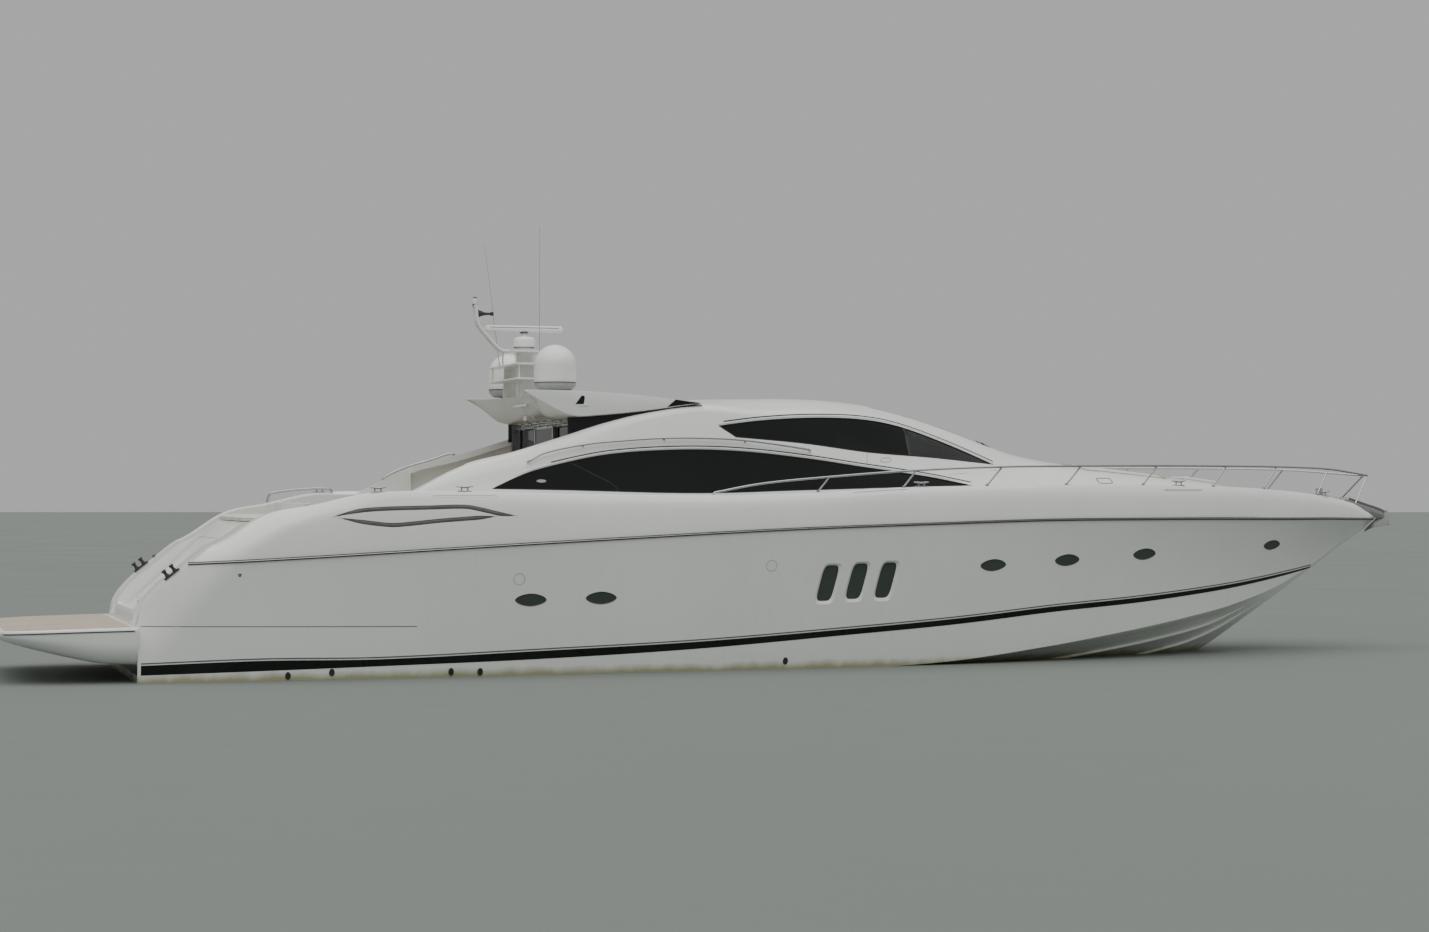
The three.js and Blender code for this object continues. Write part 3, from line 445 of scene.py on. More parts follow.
def hull_material():
    """White gelcoat with rain streaks, and a yellow-green stain that fades above the waterline."""
    made = material("hull_gelcoat", WHITE, 0.2, vary=0.02, scale=0.6, Coat_Weight=0.35, Coat_Roughness=0.07)
    tree = made.node_tree
    shader = tree.nodes["Principled BSDF"]
    plain = shader.inputs["Base Color"].links[0].from_socket
    streaks = ramp(tree, noise(tree, 2.2, (4.0, 4.0, 0.25), detail=4), 0.5, 0.9, 0.0, 0.16)
    streaked = mix_node(tree, streaks, plain, (0.60, 0.61, 0.585))
    split = tree.nodes.new("ShaderNodeSeparateXYZ")
    tree.links.new(object_coords(tree), split.inputs[0])
    ragged = tree.nodes.new("ShaderNodeMath")
    ragged.operation = "MULTIPLY_ADD"
    tree.links.new(noise(tree, 3.0, (1, 1, 0.4), detail=6), ragged.inputs[0])
    ragged.inputs[1].default_value = 0.16
    tree.links.new(split.outputs["Z"], ragged.inputs[2])
    stain = ramp(tree, ragged.outputs[0], 0.10, 0.22, 0.85, 0.0)
    tree.links.new(mix_node(tree, stain, streaked, (0.30, 0.30, 0.12)), shader.inputs["Base Color"])
    bump(tree, shader, noise(tree, 9, detail=2), 0.0006)
    return made


def teak_material():
    """Planks along X with dark caulking, each plank with its own tone and a grain along it."""
    made = material("teak", (0.50, 0.43, 0.34), 0.62, vary=0.25, scale=6, stretch=(0.3, 6, 3))
    tree = made.node_tree
    shader = tree.nodes["Principled BSDF"]
    plain = shader.inputs["Base Color"].links[0].from_socket
    bricks = tree.nodes.new("ShaderNodeTexBrick")
    tree.links.new(object_coords(tree), bricks.inputs["Vector"])
    for socket, value in {"Scale": 1.0, "Brick Width": 1.9, "Row Height": 0.055, "Mortar Size": 0.0028,
                          "Mortar Smooth": 0.1, "Bias": 0.0, "Color1": (0.56, 0.49, 0.39, 1),
                          "Color2": (0.45, 0.385, 0.30, 1), "Mortar": (0.02, 0.02, 0.02, 1)}.items():
        bricks.inputs[socket].default_value = value
    toned = mix_node(tree, 0.55, plain, (0.4, 0.4, 0.4))
    tree.links.new(bricks.outputs["Color"], toned.node.inputs[7])
    seams = mix_node(tree, bricks.outputs["Fac"], toned, (0.015, 0.015, 0.015))
    tree.links.new(seams, shader.inputs["Base Color"])
    bump(tree, shader, bricks.outputs["Fac"], -0.002, 0.6)
    return made


def vinyl_material(name, colour):
    """Cream marine vinyl with a fine leather grain."""
    made = material(name, colour, 0.5, vary=0.05, scale=4, Sheen_Weight=0.15)
    tree = made.node_tree
    cells = tree.nodes.new("ShaderNodeTexVoronoi")
    cells.feature = "DISTANCE_TO_EDGE"
    cells.inputs["Scale"].default_value = 260
    tree.links.new(object_coords(tree), cells.inputs["Vector"])
    bump(tree, tree.nodes["Principled BSDF"], cells.outputs["Distance"], 0.0008, 0.5)
    return made


hull_paint = hull_material()
teak = teak_material()
vinyl = vinyl_material("vinyl", (0.68, 0.65, 0.57))
piping = vinyl_material("piping", (0.42, 0.40, 0.35))
cabinet_wood = material("cabinet_wood", (0.23, 0.11, 0.05), 0.28, vary=0.35, scale=3, stretch=(0.4, 3, 5),
                        Coat_Weight=0.4)


# Pieces
def piece(obj, paint, slot, body="yacht", replaces=(), angle=32, name=None):
    """Paints obj, smooths its faces and hangs it on a body of the frame."""
    if name:
        obj.name = name
        obj.data.name = name
    if paint:
        obj.data.materials.clear()
        obj.data.materials.append(paint)
    mesh = obj.data
    mesh.polygons.foreach_set("use_smooth", [True] * len(mesh.polygons))
    mesh.set_sharp_from_angle(angle=math.radians(angle))
    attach(obj, body)
    if replaces:
        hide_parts(*([replaces] if isinstance(replaces, str) else replaces))
    return obj


# Hull lines. Columns: x, keel height, chine half-breadth and height, knuckle half-breadth and height
HULL_LINES = metres(
    [-10250, -700, 2300, -100, 2530, 1790], [-8000, -760, 2390, -110, 2720, 1895],
    [-4000, -850, 2440, -110, 2880, 2115], [0, -900, 2420, -60, 2920, 2310],
    [3000, -880, 2330, 40, 2880, 2405], [5000, -800, 2160, 245, 2715, 2452],
    [7000, -600, 1880, 520, 2430, 2459], [8500, -310, 1520, 755, 2085, 2457],
    [9270, 0, 1290, 900, 1850, 2450], [10370, 668, 880, 1180, 1460, 2442],
    [11440, 1348, 420, 1580, 1000, 2438], [12310, 1925, 130, 2030, 550, 2426],
    [12780, 2207, 60, 2260, 270, 2420], [13000, 2380, 25, 2400, 60, 2418])
# Deck lines. Columns: x, edge height, side deck height, trunk side and top half-breadth, crown height.
# There is no trunk aft of the saddle, so its half-breadths stay the same there and its crown is the deck
DECK_LINES = [[x, edge, deck, 1.5, 1.0, deck] for x, edge, deck in metres(
    [-10250, 2000, 1990], [-9130, 2095, 2085], [-8300, 2575, 2560], [-7550, 2730, 2715], [-6870, 2885, 2860],
    [-6240, 2935, 2880], [-5200, 2930, 2860], [-3600, 2900, 2830], [-1200, 2875, 2805], [700, 2924, 2845],
    [2220, 3000, 2900], [3770, 3030, 2930], [5200, 3050, 2950])]
TRUNK_LINES = metres(
    [5200, 3050, 2950, 1800, 1000, 3645], [6000, 3051, 2955, 1640, 1030, 3487],
    [7000, 3047, 2950, 1430, 980, 3362], [8500, 3023, 2930, 1090, 730, 3195],
    [9760, 2980, 2890, 800, 520, 3035], [11220, 2871, 2790, 460, 300, 2870],
    [12300, 2720, 2660, 190, 120, 2760], [12780, 2560, 2520, 80, 50, 2540],
    [13000, 2475, 2465, 20, 10, 2468])
# House lines. Columns: x, base half-breadth, waist, eave and shoulder half-breadth and height, crown height
HOUSE_LINES = metres(
    [-6000, 2330, 2325, 2895, 2320, 2915, 1500, 2920, 2925],
    [-5090, 2345, 2275, 3190, 2150, 3362, 1500, 3372, 3377],
    [-4280, 2360, 2215, 3370, 2100, 3571, 1500, 3581, 3586],
    [-3460, 2375, 2200, 3590, 2085, 3824, 1500, 3834, 3839],
    [-2770, 2380, 2195, 3700, 2080, 4044, 1500, 4064, 4069],
    [-2070, 2380, 2190, 3745, 2065, 4219, 1400, 4260, 4270],
    [-1090, 2380, 2185, 3765, 2015, 4365, 1200, 4460, 4480],
    [0, 2355, 2160, 3690, 1930, 4290, 1200, 4497, 4527],
    [1000, 2330, 2110, 3560, 1830, 4300, 1150, 4508, 4545],
    [2000, 2290, 2040, 3400, 1720, 4210, 1080, 4450, 4500],
    [3000, 2180, 1920, 3260, 1580, 3960, 950, 4275, 4338],
    [4000, 2020, 1730, 3180, 1420, 3640, 800, 4005, 4068],
    [4600, 1920, 1600, 3160, 1330, 3450, 720, 3795, 3858],
    [4950, 1850, 1530, 3150, 1290, 3365, 680, 3670, 3733],
    [5200, 1800, 1480, 3130, 1250, 3330, 650, 3600, 3650])
SADDLE = 5.2
ROOF_AFT = -1.05
FLOOR = 1.952
ANTIFOUL_TOP = -0.03
keel_z, chine_y, chine_z, knuckle_y, knuckle_z = columns(HULL_LINES)
deck_lines, trunk_lines, house_lines = columns(DECK_LINES), columns(TRUNK_LINES), columns(HOUSE_LINES)
BULWARK = column([[0, 0], [0.4, 0.010], [0.78, 0.045], [1, 0.120]], 1)
# The soft crease where the hull turns towards the stern. Columns: height, x
CREASE = column([[0.2, -9.9], [0.9, -9.55], [1.5, -9.1], [1.994, -8.56], [2.451, -7.86], [2.757, -7.14],
                 [3.0, -6.3]], 1)


def turn_in(x, z):
    """How far the side leans in behind the crease."""
    behind = max(CREASE(z) - x, 0)
    return min(0.34 * behind * behind / (behind + 0.35), 0.36) * smoothstep(z, 0.25, 1.0)


def edge_z(x):
    return (deck_lines if x < SADDLE else trunk_lines)[0](x)


def side_points(x):
    """The outside of the hull from the chine to the bulwark's top, as (y, z)."""
    cy, cz, ny, nz, ez = chine_y(x), chine_z(x), knuckle_y(x), knuckle_z(x), edge_z(x)
    flare = smoothstep(x, 2, 9)
    narrow = min(1, ny / 0.32)
    out = []
    for i in range(15):
        t = i / 14
        out.append((cy + (ny - cy) * (t - flare * 0.42 * t * (1 - t)), cz + (nz - cz) * t))
    for i in range(1, 9):
        out.append((ny - BULWARK(i / 8) * narrow, nz + (ez - nz) * i / 8))
    return [(max(y - turn_in(x, z), 0.012), z) for y, z in out]


def side_y(x, z):
    """Half-breadth of the hull's side at a height."""
    return read_line(side_points(x), z)


def bottom_point(x, share):
    """A point of the bottom between the keel and the chine."""
    low = (chine_y(x) - min(0.09, chine_y(x) * 0.3), chine_z(x) - 0.012)
    return low[0] * share, keel_z(x) + (low[1] - keel_z(x)) * (share + 0.10 * share * (1 - share))


def across(x, half):
    """A closed ring at x from its port half, which runs from the bottom centre to the top centre."""
    return [(x, y, z) for y, z in half] + [(x, -y, z) for y, z in half[-2:0:-1]]


def body_ring(x, lines):
    """A section of the hull with its decks, and ahead of the saddle with the trunk."""
    ny = knuckle_y(x)
    ez, dz, trunk, top, crown = [line(x) for line in lines]
    shift = turn_in(x, ez)
    inner = lambda offset: ny - offset * min(1, ny / 0.32) - shift
    trunk = min(trunk, inner(0.3))
    top = min(top, trunk * 0.8)
    rise = lambda share: dz + (crown - dz) * share
    over = [(inner(0.12), ez), (inner(0.19), ez + 0.004), (inner(0.24), dz), (trunk, dz + 0.002),
            (top, rise(0.72) + 0.003), (top * 0.5, rise(0.93) + 0.004), (0, crown + 0.005)]
    side = side_points(x)
    wrap = rounded([side[-2]] + over, [0.03, 0.02, 0.03, 0.10, 0.22, 0.3], 4)
    return across(x, [bottom_point(x, i / 6) for i in range(7)] + side[:-1] + wrap[1:])


hull_xs = sorted({round(x, 4) for x in steps(-10.25, 12.2, 0.09) + steps(12.2, 13.0, 0.04)
                  + [-7.6, SADDLE - 0.001, SADDLE + 0.001]})
body_rings = [body_ring(x, deck_lines if x < SADDLE else trunk_lines) for x in hull_xs
              if abs(x - SADDLE) > 5e-4]
hull_shell = loft("hull_shell", body_rings)

# Openings in it
STEP_IN, STEP_OUT, QUARTER_DECK = 1.44, 1.96, 2.45
TRANSOM = smooth(metres([-10245, 870], [-10180, 1140], [-9930, 1450], [-9630, 1690], [-9130, 2095],
                        [-8500, 2530], [-8250, 2600]), 6)
STEPS = metres([-10600, 880], [-9900, 1090], [-9640, 1305], [-9380, 1520], [-9120, 1735], [-8860, 1950])
DOOR_LOW, DOOR_TOP, DOOR_THICK, DOOR_HALF, DOOR_GAP = (-10.08, 1.05), (-8.64, 2.4), 0.08, 1.38, 0.008
door_slope = math.atan2(DOOR_TOP[1] - DOOR_LOW[1], DOOR_TOP[0] - DOOR_LOW[0])
ALONG = (math.cos(door_slope), math.sin(door_slope))
INWARD = (math.sin(door_slope), -math.cos(door_slope))


def on_door(point, u, v):
    """A point on the sloping door: u along it and v inwards, from one of its ends."""
    return (point[0] + ALONG[0] * u + INWARD[0] * v, point[1] + ALONG[1] * u + INWARD[1] * v)


def door_outline(grow, out=0.0):
    return [on_door(DOOR_LOW, -grow, -out), on_door(DOOR_TOP, grow, -out),
            on_door(DOOR_TOP, grow, DOOR_THICK + grow), on_door(DOOR_LOW, -grow, DOOR_THICK + grow)]


hull_cuts = [
    prism("transom", [(-14, 0.87)] + TRANSOM + [(-8.25, 6), (-14, 6)], -4, 4),
    prism("pocket", door_outline(DOOR_GAP, 0.4), -DOOR_HALF - DOOR_GAP, DOOR_HALF + DOOR_GAP),
    block("garage", (-10.4, -1.28, 1.08), (-7.75, 1.28, 2.26), 0.05),
    block("quarter", (-8.7, -STEP_IN, QUARTER_DECK), (-7.5, STEP_IN, 6)),
    block("well", (-7.6, -1.98, 1.9), (3.1, 1.98, 6)),
    block("engine_bay", (-7.3, -1.85, -0.18), (-4.1, 1.85, 1.8))]
for _, side in SIDES:
    outline = []
    for i, (x, z) in enumerate(STEPS):
        after = STEPS[i + 1][0] if i + 1 < len(STEPS) else -7.5
        outline += [(x, z), (after, z)]
    outline += [(-7.5, 3.5), (-10.6, 3.5)]
    hull_cuts.append(side_prism("stairs", outline, side, STEP_IN, STEP_OUT))
for cutter in hull_cuts:
    boolean(hull_shell, cutter)

# Portholes and hull windows. Columns: x, z, width, height, lean
PORTHOLES = [(-4.16, 1.208, 0.50, 0.196, 0.0), (-3.0, 1.225, 0.50, 0.196, 0.0),
             (3.91, 1.688, 0.48, 0.196, 0.2), (5.375, 1.757, 0.48, 0.196, 0.2),
             (6.99, 1.842, 0.47, 0.192, 0.25), (10.05, 1.965, 0.42, 0.168, 0.3)]
HULL_WINDOWS = [(x, z, 0.265, 0.585, 0.2) for x, z in ((0.895, 1.420), (1.415, 1.447), (1.935, 1.458))]


def on_side(outline, side, inset):
    """Points (x, z) placed on the hull's side, that far inside it."""
    return [(x, side * (side_y(x, z) - inset), z) for x, z in outline]


def side_disc(name, outline, side, near, far):
    """A slab that follows the hull's side between two depths."""
    return loft(name, [on_side(outline, side, far), on_side(outline, side, near)])


def side_frame(name, outer, inner, side, outer_near, inner_near, far):
    """A frame between two outlines of equal count, whose face slopes between two depths."""
    rings = [on_side(outer, side, far), on_side(outer, side, outer_near), on_side(inner, side, inner_near),
             on_side(inner, side, far)]
    return loft(name, [list(ring) for ring in zip(*rings)], loop=True)


for label, side in SIDES:
    for i, (x, z, wide, high, lean) in enumerate(PORTHOLES):
        shape = lambda grow: oval(x, z, wide + grow, high + grow * 0.7, 56, 1.75, lean)
        boolean(hull_shell, side_disc("port_cut", shape(0.0), side, -0.08, 0.02))
        pane = side_disc(f"porthole_glass_{label}_{i + 1}", shape(-0.03), side, 0.006, 0.03)
        piece(pane, glass_hull, "glass")
        outer, inner = shape(0.014), shape(-0.032)
        rim = side_frame(f"porthole_rim_{label}_{i + 1}", outer, inner, side, -0.004, 0.004, 0.03)
        piece(rim, rub_grey, "grey")
    for i, (x, z, wide, high, lean) in enumerate(HULL_WINDOWS):
        shape = lambda grow, lift=0.0: oval(x, z + lift, wide + grow, high + grow, 64, 4.5, lean)
        boolean(hull_shell, side_disc("window_cut", shape(0.10, -0.012), side, -0.08, 0.07))
        piece(side_disc(f"hull_window_{label}_{i + 1}", shape(0.01), side, 0.045, 0.068), glass_hull, "glass")
        for part, outer, inner, near, far, paint, slot in (
                ("frame", shape(0.10, -0.012), shape(0.0), -0.002, 0.069, gelcoat, "gelcoat"),
                ("gasket", shape(0.012), shape(-0.016), 0.036, 0.05, rubber, "dark")):
            part = side_frame(f"hull_window_{part}_{label}_{i + 1}", outer, inner, side, near, 0.040, far)
            piece(part, paint, slot)

# Grooves of the eye-shaped panel in the quarter, with a dark grey tube along the bottom of each as painted
# shade
VENT_UPPER = smooth([(-7.34, 2.528), (-6.978, 2.618), (-6.69, 2.652), (-5.8, 2.680), (-5.22, 2.688),
                     (-4.99, 2.645), (-4.667, 2.572), (-4.43, 2.543)], 6)
VENT_LOWER = smooth([(-7.23, 2.522), (-6.9, 2.462), (-6.45, 2.409), (-6.31, 2.409), (-5.63, 2.474),
                     (-4.99, 2.520), (-4.75, 2.536)], 6)
for label, side in SIDES:
    groove_shades = []
    for curve in (VENT_UPPER, VENT_LOWER):
        last = len(curve) - 1
        taper = [min(1, 0.25 + i / 9, 0.25 + (last - i) / 9) for i in range(last + 1)]
        boolean(hull_shell, tube("groove", on_side(curve, side, 0.006), [0.036 * t for t in taper], 10))
        # A dark grey tube inside the groove: painted shade in the groove
        groove_shades.append(tube("inlay", on_side(curve, side, 0.030), [0.032 * t for t in taper], 10))
    piece(joined(f"quarter_groove_shade_{label}", groove_shades), groove_grey, "grey")

# Hollow for the foredeck pad
PAD = dict(aft=6.5, fwd=8.3, half_aft=0.9, half_fwd=0.64, deep=0.06, gap=0.006)
aft, fwd = PAD["aft"] - PAD["gap"], PAD["fwd"] + PAD["gap"]
half_aft, half_fwd = PAD["half_aft"] + PAD["gap"], PAD["half_fwd"] + PAD["gap"]
pad_plan = rounded([(aft, 0), (aft, half_aft), (fwd, half_fwd), (fwd, 0)], [0.08, 0.08], 5)
trunk_floor = loft("floor", [[(x, y, z - PAD["deep"]) for x, y, z in body_ring(x, trunk_lines)]
                             for x in steps(6.2, 8.6, 0.12)])
pad_hole = prism("pad_hole", both_halves(pad_plan), 2.9, 3.7, "z")
boolean(hull_shell, boolean(pad_hole, trunk_floor))


def below_water(bm):
    """Parts the faces at the antifouling's edge and gives the lower ones its material."""
    bmesh.ops.bisect_plane(bm, geom=bm.verts[:] + bm.edges[:] + bm.faces[:], plane_co=(0, 0, ANTIFOUL_TOP),
                           plane_no=(0, 0, 1))
    for face in bm.faces:
        face.material_index = int(face.calc_center_median().z < ANTIFOUL_TOP)


piece(hull_shell, hull_paint, "gelcoat", angle=28,
      replaces=("hull", "stern_moulding", "side_deck_port", "side_deck_stbd", "foredeck"))
hull_shell.data.materials.append(antifoul)
edit(hull_shell, below_water)


def top_z(x, y):
    """Height of the trunk's top surface."""
    return max(crossings([(ring_y, z) for _, ring_y, z in body_ring(x, trunk_lines)], y))


# Strips along the side of the hull
def side_strip(name, xs, low, high, proud, side, cols=3):
    """A band that lies on the hull's side between two lines."""
    rings = []
    for x in xs:
        z0, z1 = low(x), high(x)
        heights = [z0 + (z1 - z0) * i / cols for i in range(cols + 1)]
        ring = [(x, side * (side_y(x, z) + proud), z) for z in heights]
        ring += [(x, side * (side_y(x, z) - 0.01), z) for z in (heights[-1], heights[0])]
        rings.append(ring)
    return loft(name, rings)


BAND = [[-10.2, 0.118, 0.268], [-8.37, 0.153, 0.313], [-6.56, 0.192, 0.303], [-3.96, 0.256, 0.387],
        [-1.33, 0.369, 0.486], [1.16, 0.538, 0.639], [3.29, 0.689, 0.788], [5.22, 0.864, 0.958],
        [7.1, 0.998, 1.086], [9.1, 1.192, 1.264], [11.0, 1.450, 1.490], [11.6, 1.552, 1.572]]
band_low, band_high = columns(BAND)
low_y, high_y = side_y(-10.2, 0.118) - 0.03, side_y(-10.2, 0.268) - 0.03
stripe = [[(x, side * y, z) for x, y, z in ((-10.253, low_y, 0.118), (-10.253, high_y, 0.262),
                                            (-10.24, high_y, 0.262), (-10.24, low_y, 0.118))]
          for side in (-1, 1)]
piece(loft("boot_stripe_transom", stripe), gloss_black, "dark")
for label, side in SIDES:
    xs = steps(-10.2, 11.4, 0.15)
    piece(side_strip(f"boot_stripe_{label}", xs, band_low, band_high, 0.003, side), gloss_black, "dark")
    low, high = lambda x: band_high(x) + 0.018, lambda x: band_high(x) + 0.018 + 0.022
    piece(side_strip(f"pinstripe_{label}", xs, low, high, 0.002, side, 1), groove_grey, "grey")
    rub = []
    rub_xs = steps(-9.5, 12.96, 0.1)
    for x in rub_xs:
        z, y = knuckle_z(x), side_y(x, knuckle_z(x))
        rub.append([(x, side * (y + dy), z + dz) for dy, dz in
                    ((-0.012, -0.024), (0.012, -0.022), (0.025, -0.012), (0.027, 0.0), (0.025, 0.012),
                     (0.012, 0.022), (-0.012, 0.024))])
    piece(loft(f"rub_rail_{label}", rub), rub_grey, "grey", replaces="rub_rail" if side > 0 else ())
    capping = [(x, side * (side_y(x, knuckle_z(x)) + 0.026), knuckle_z(x)) for x in rub_xs]
    piece(tube(f"rub_rail_band_{label}", capping, 0.007, 8), steel, "steel")


# House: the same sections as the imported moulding, with their corners rounded
ROUNDING = (0.15, 0.14, 0.34)
FOOT_LIFT = 0.0065


def house_corners(x, inset=0.0, roof_inset=0.0):
    """Corners of the house's section as (y, z), moved inwards by the insets."""
    by, my, mz, ey, ez, cy, cz, tz = [line(x) for line in house_lines]
    line = [(by, deck_lines[1](x) + FOOT_LIFT), (my, mz), (ey, ez), (cy, cz), (0, tz)]
    normals = []
    for (y0, z0), (y1, z1) in zip(line, line[1:]):
        length = math.dist((y0, z0), (y1, z1))
        normals.append(((z1 - z0) / length, (y0 - y1) / length))
    out = []
    for i, (y, z) in enumerate(line):
        depth = roof_inset if i > 2 else inset
        a, b = normals[max(i - 1, 0)], normals[min(i, 3)]
        scale = depth / (1 + a[0] * b[0] + a[1] * b[1])
        out.append((0, z - depth) if i == 4 else (y - (a[0] + b[0]) * scale, z - (a[1] + b[1]) * scale))
    return out


def house_ring(x, inset=0.0, roof_inset=0.0, drop=0.0):
    corners = house_corners(x, inset, roof_inset)
    base = deck_lines[1](x) + FOOT_LIFT - drop
    half = [(0, base + 0.001)] + ([(corners[0][0], base)] if drop else []) + rounded(corners, ROUNDING, 6)
    return across(x, half)


def house_loft(name, inset=0.0, roof_inset=0.0, drop=0.0, aft=-6.0, fwd=5.2, step=0.08):
    return loft(name, [house_ring(x, inset, roof_inset, drop) for x in steps(aft, fwd, step)])


def house_y(x, z):
    """Half-breadth of the house at a height."""
    return read_line(rounded(house_corners(x), ROUNDING, 6), z)


def house_z(x, y):
    """Height of the roof or coachroof at a half-breadth."""
    return read_line([(z, half) for half, z in rounded(house_corners(x), ROUNDING, 6)[::-1]], y)


LOWER_TOP = smooth(metres([-4700, 2973], [-4120, 3223], [-3430, 3406], [-2700, 3540], [-1480, 3618],
                          [-420, 3594], [810, 3473], [1730, 3348], [2460, 3257], [3130, 3163], [3830, 3036]),
                   8)
LOWER_BOTTOM = smooth(metres([3830, 3036], [540, 2950], [-1220, 2904], [-3590, 2955], [-4700, 2973]), 8)
UPPER_TOP = smooth(metres([-810, 4018], [20, 4118], [960, 4171], [1870, 4153], [2600, 4043], [3660, 3713],
                          [4470, 3402]), 8)
UPPER_BOTTOM = smooth(metres([4470, 3402], [3140, 3511], [1910, 3591], [720, 3732], [-520, 3830]), 8)
WINDOWS = {"lower": LOWER_TOP + LOWER_BOTTOM[1:-1], "upper": UPPER_TOP + UPPER_BOTTOM[1:]}
screen_half = smooth(metres([2330, 1070], [3000, 985], [3700, 895], [4400, 790], [4780, 640], [4920, 360],
                            [4945, 0]), 6)
WINDSCREEN = screen_half + [(x, -y) for x, y in screen_half[-2::-1]]
MULLION = 0.36
SUNROOF = dict(aft=0.45, fwd=1.6, half=0.68, floor=4.394, thick=0.022, lift=0.007, travel=1.15)


def shrunk(outline, by):
    """An outline drawn in towards its middle."""
    cx, cy = (sum(p[i] for p in outline) / len(outline) for i in (0, 1))
    return [(x + (cx - x) * by / math.dist((x, y), (cx, cy)), y + (cy - y) * by / math.dist((x, y), (cx, cy)))
            for x, y in outline]


house_shell = house_loft("house_shell")
house_cuts = [house_loft("inner", 0.09, 0.175, 0.4, -5.09, 4.7, 0.2),
              block("inner_aft", (-6.5, -2.08, 2.0), (-5.08, 2.08, 4.0)),
              block("roof_aft", (-7, -1.99, 2), (ROOF_AFT, 1.99, 6)),
              prism("screen", WINDSCREEN, 3.15, 5, "z"),
              block("recess", (SUNROOF["aft"] - SUNROOF["travel"] - 0.02, -SUNROOF["half"] - 0.015,
                               SUNROOF["floor"]), (SUNROOF["fwd"] + 0.02, SUNROOF["half"] + 0.015, 6), 0.03),
              block("hole", (SUNROOF["aft"] + 0.12, 0.1 - SUNROOF["half"], 4),
                    (SUNROOF["fwd"] - 0.12, SUNROOF["half"] - 0.1, 6), 0.05)]
house_cuts += [side_prism("window", outline, side, 1.2, 3) for outline in WINDOWS.values()
               for _, side in SIDES]
for cutter in house_cuts:
    boolean(house_shell, cutter)
piece(house_shell, gelcoat, "gelcoat", replaces="house_moulding", angle=26)

PANE = 0.012
PANE_GAP = 0.004


def house_pane(name, edge):
    """A sheet of glass that follows the house inside a prism."""
    pane = house_loft(name, PANE, PANE, 0.0)
    boolean(pane, house_loft("behind", 0.03, 0.03, 0.4, -5.9, 5.1, 0.1))
    return boolean(pane, edge, "INTERSECT")


for label, side in SIDES:
    for window, outline in WINDOWS.items():
        pane = house_pane("pane", side_prism("edge", shrunk(outline, PANE_GAP), side, 1.2, 3))
        if window == "upper":
            fore = link("fore", pane.data.copy())
            boolean(fore, block("aft_of", (-3, -3, 3), (2.74, 3, 5)))
            boolean(pane, block("fore_of", (2.70, -3, 3), (6, 3, 5)))
            piece(fore, glass_front, "glass", replaces=f"upper_side_glass_{label}",
                  name=f"upper_glass_front_{label}")
        piece(pane, glass_dark, "glass", replaces=f"{window}_side_glass_{label}",
              name=f"{window}_glass_{label}")
screen = house_pane("screen_glass", prism("edge", shrunk(WINDSCREEN, PANE_GAP), 3.15, 5, "z"))
for side in (-1, 1):
    boolean(screen, block("gap", (2, side * MULLION - 0.012, 3), (5.5, side * MULLION + 0.012, 5)))
piece(screen, glass_dark, "glass", replaces="windscreen")


def on_house(points, side, proud):
    """Points (x, z) placed on the house's side, that far off it."""
    return [(x, side * (house_y(x, z) + proud), z) for x, z in points]


def near_outline(points, offset):
    """Points moved across the line, to its left."""
    out = []
    for i, (x, z) in enumerate(points):
        (x0, z0), (x1, z1) = points[max(i - 1, 0)], points[min(i + 1, len(points) - 1)]
        length = math.dist((x0, z0), (x1, z1))
        out.append((x - (z1 - z0) / length * offset, z + (x1 - x0) / length * offset))
    return out
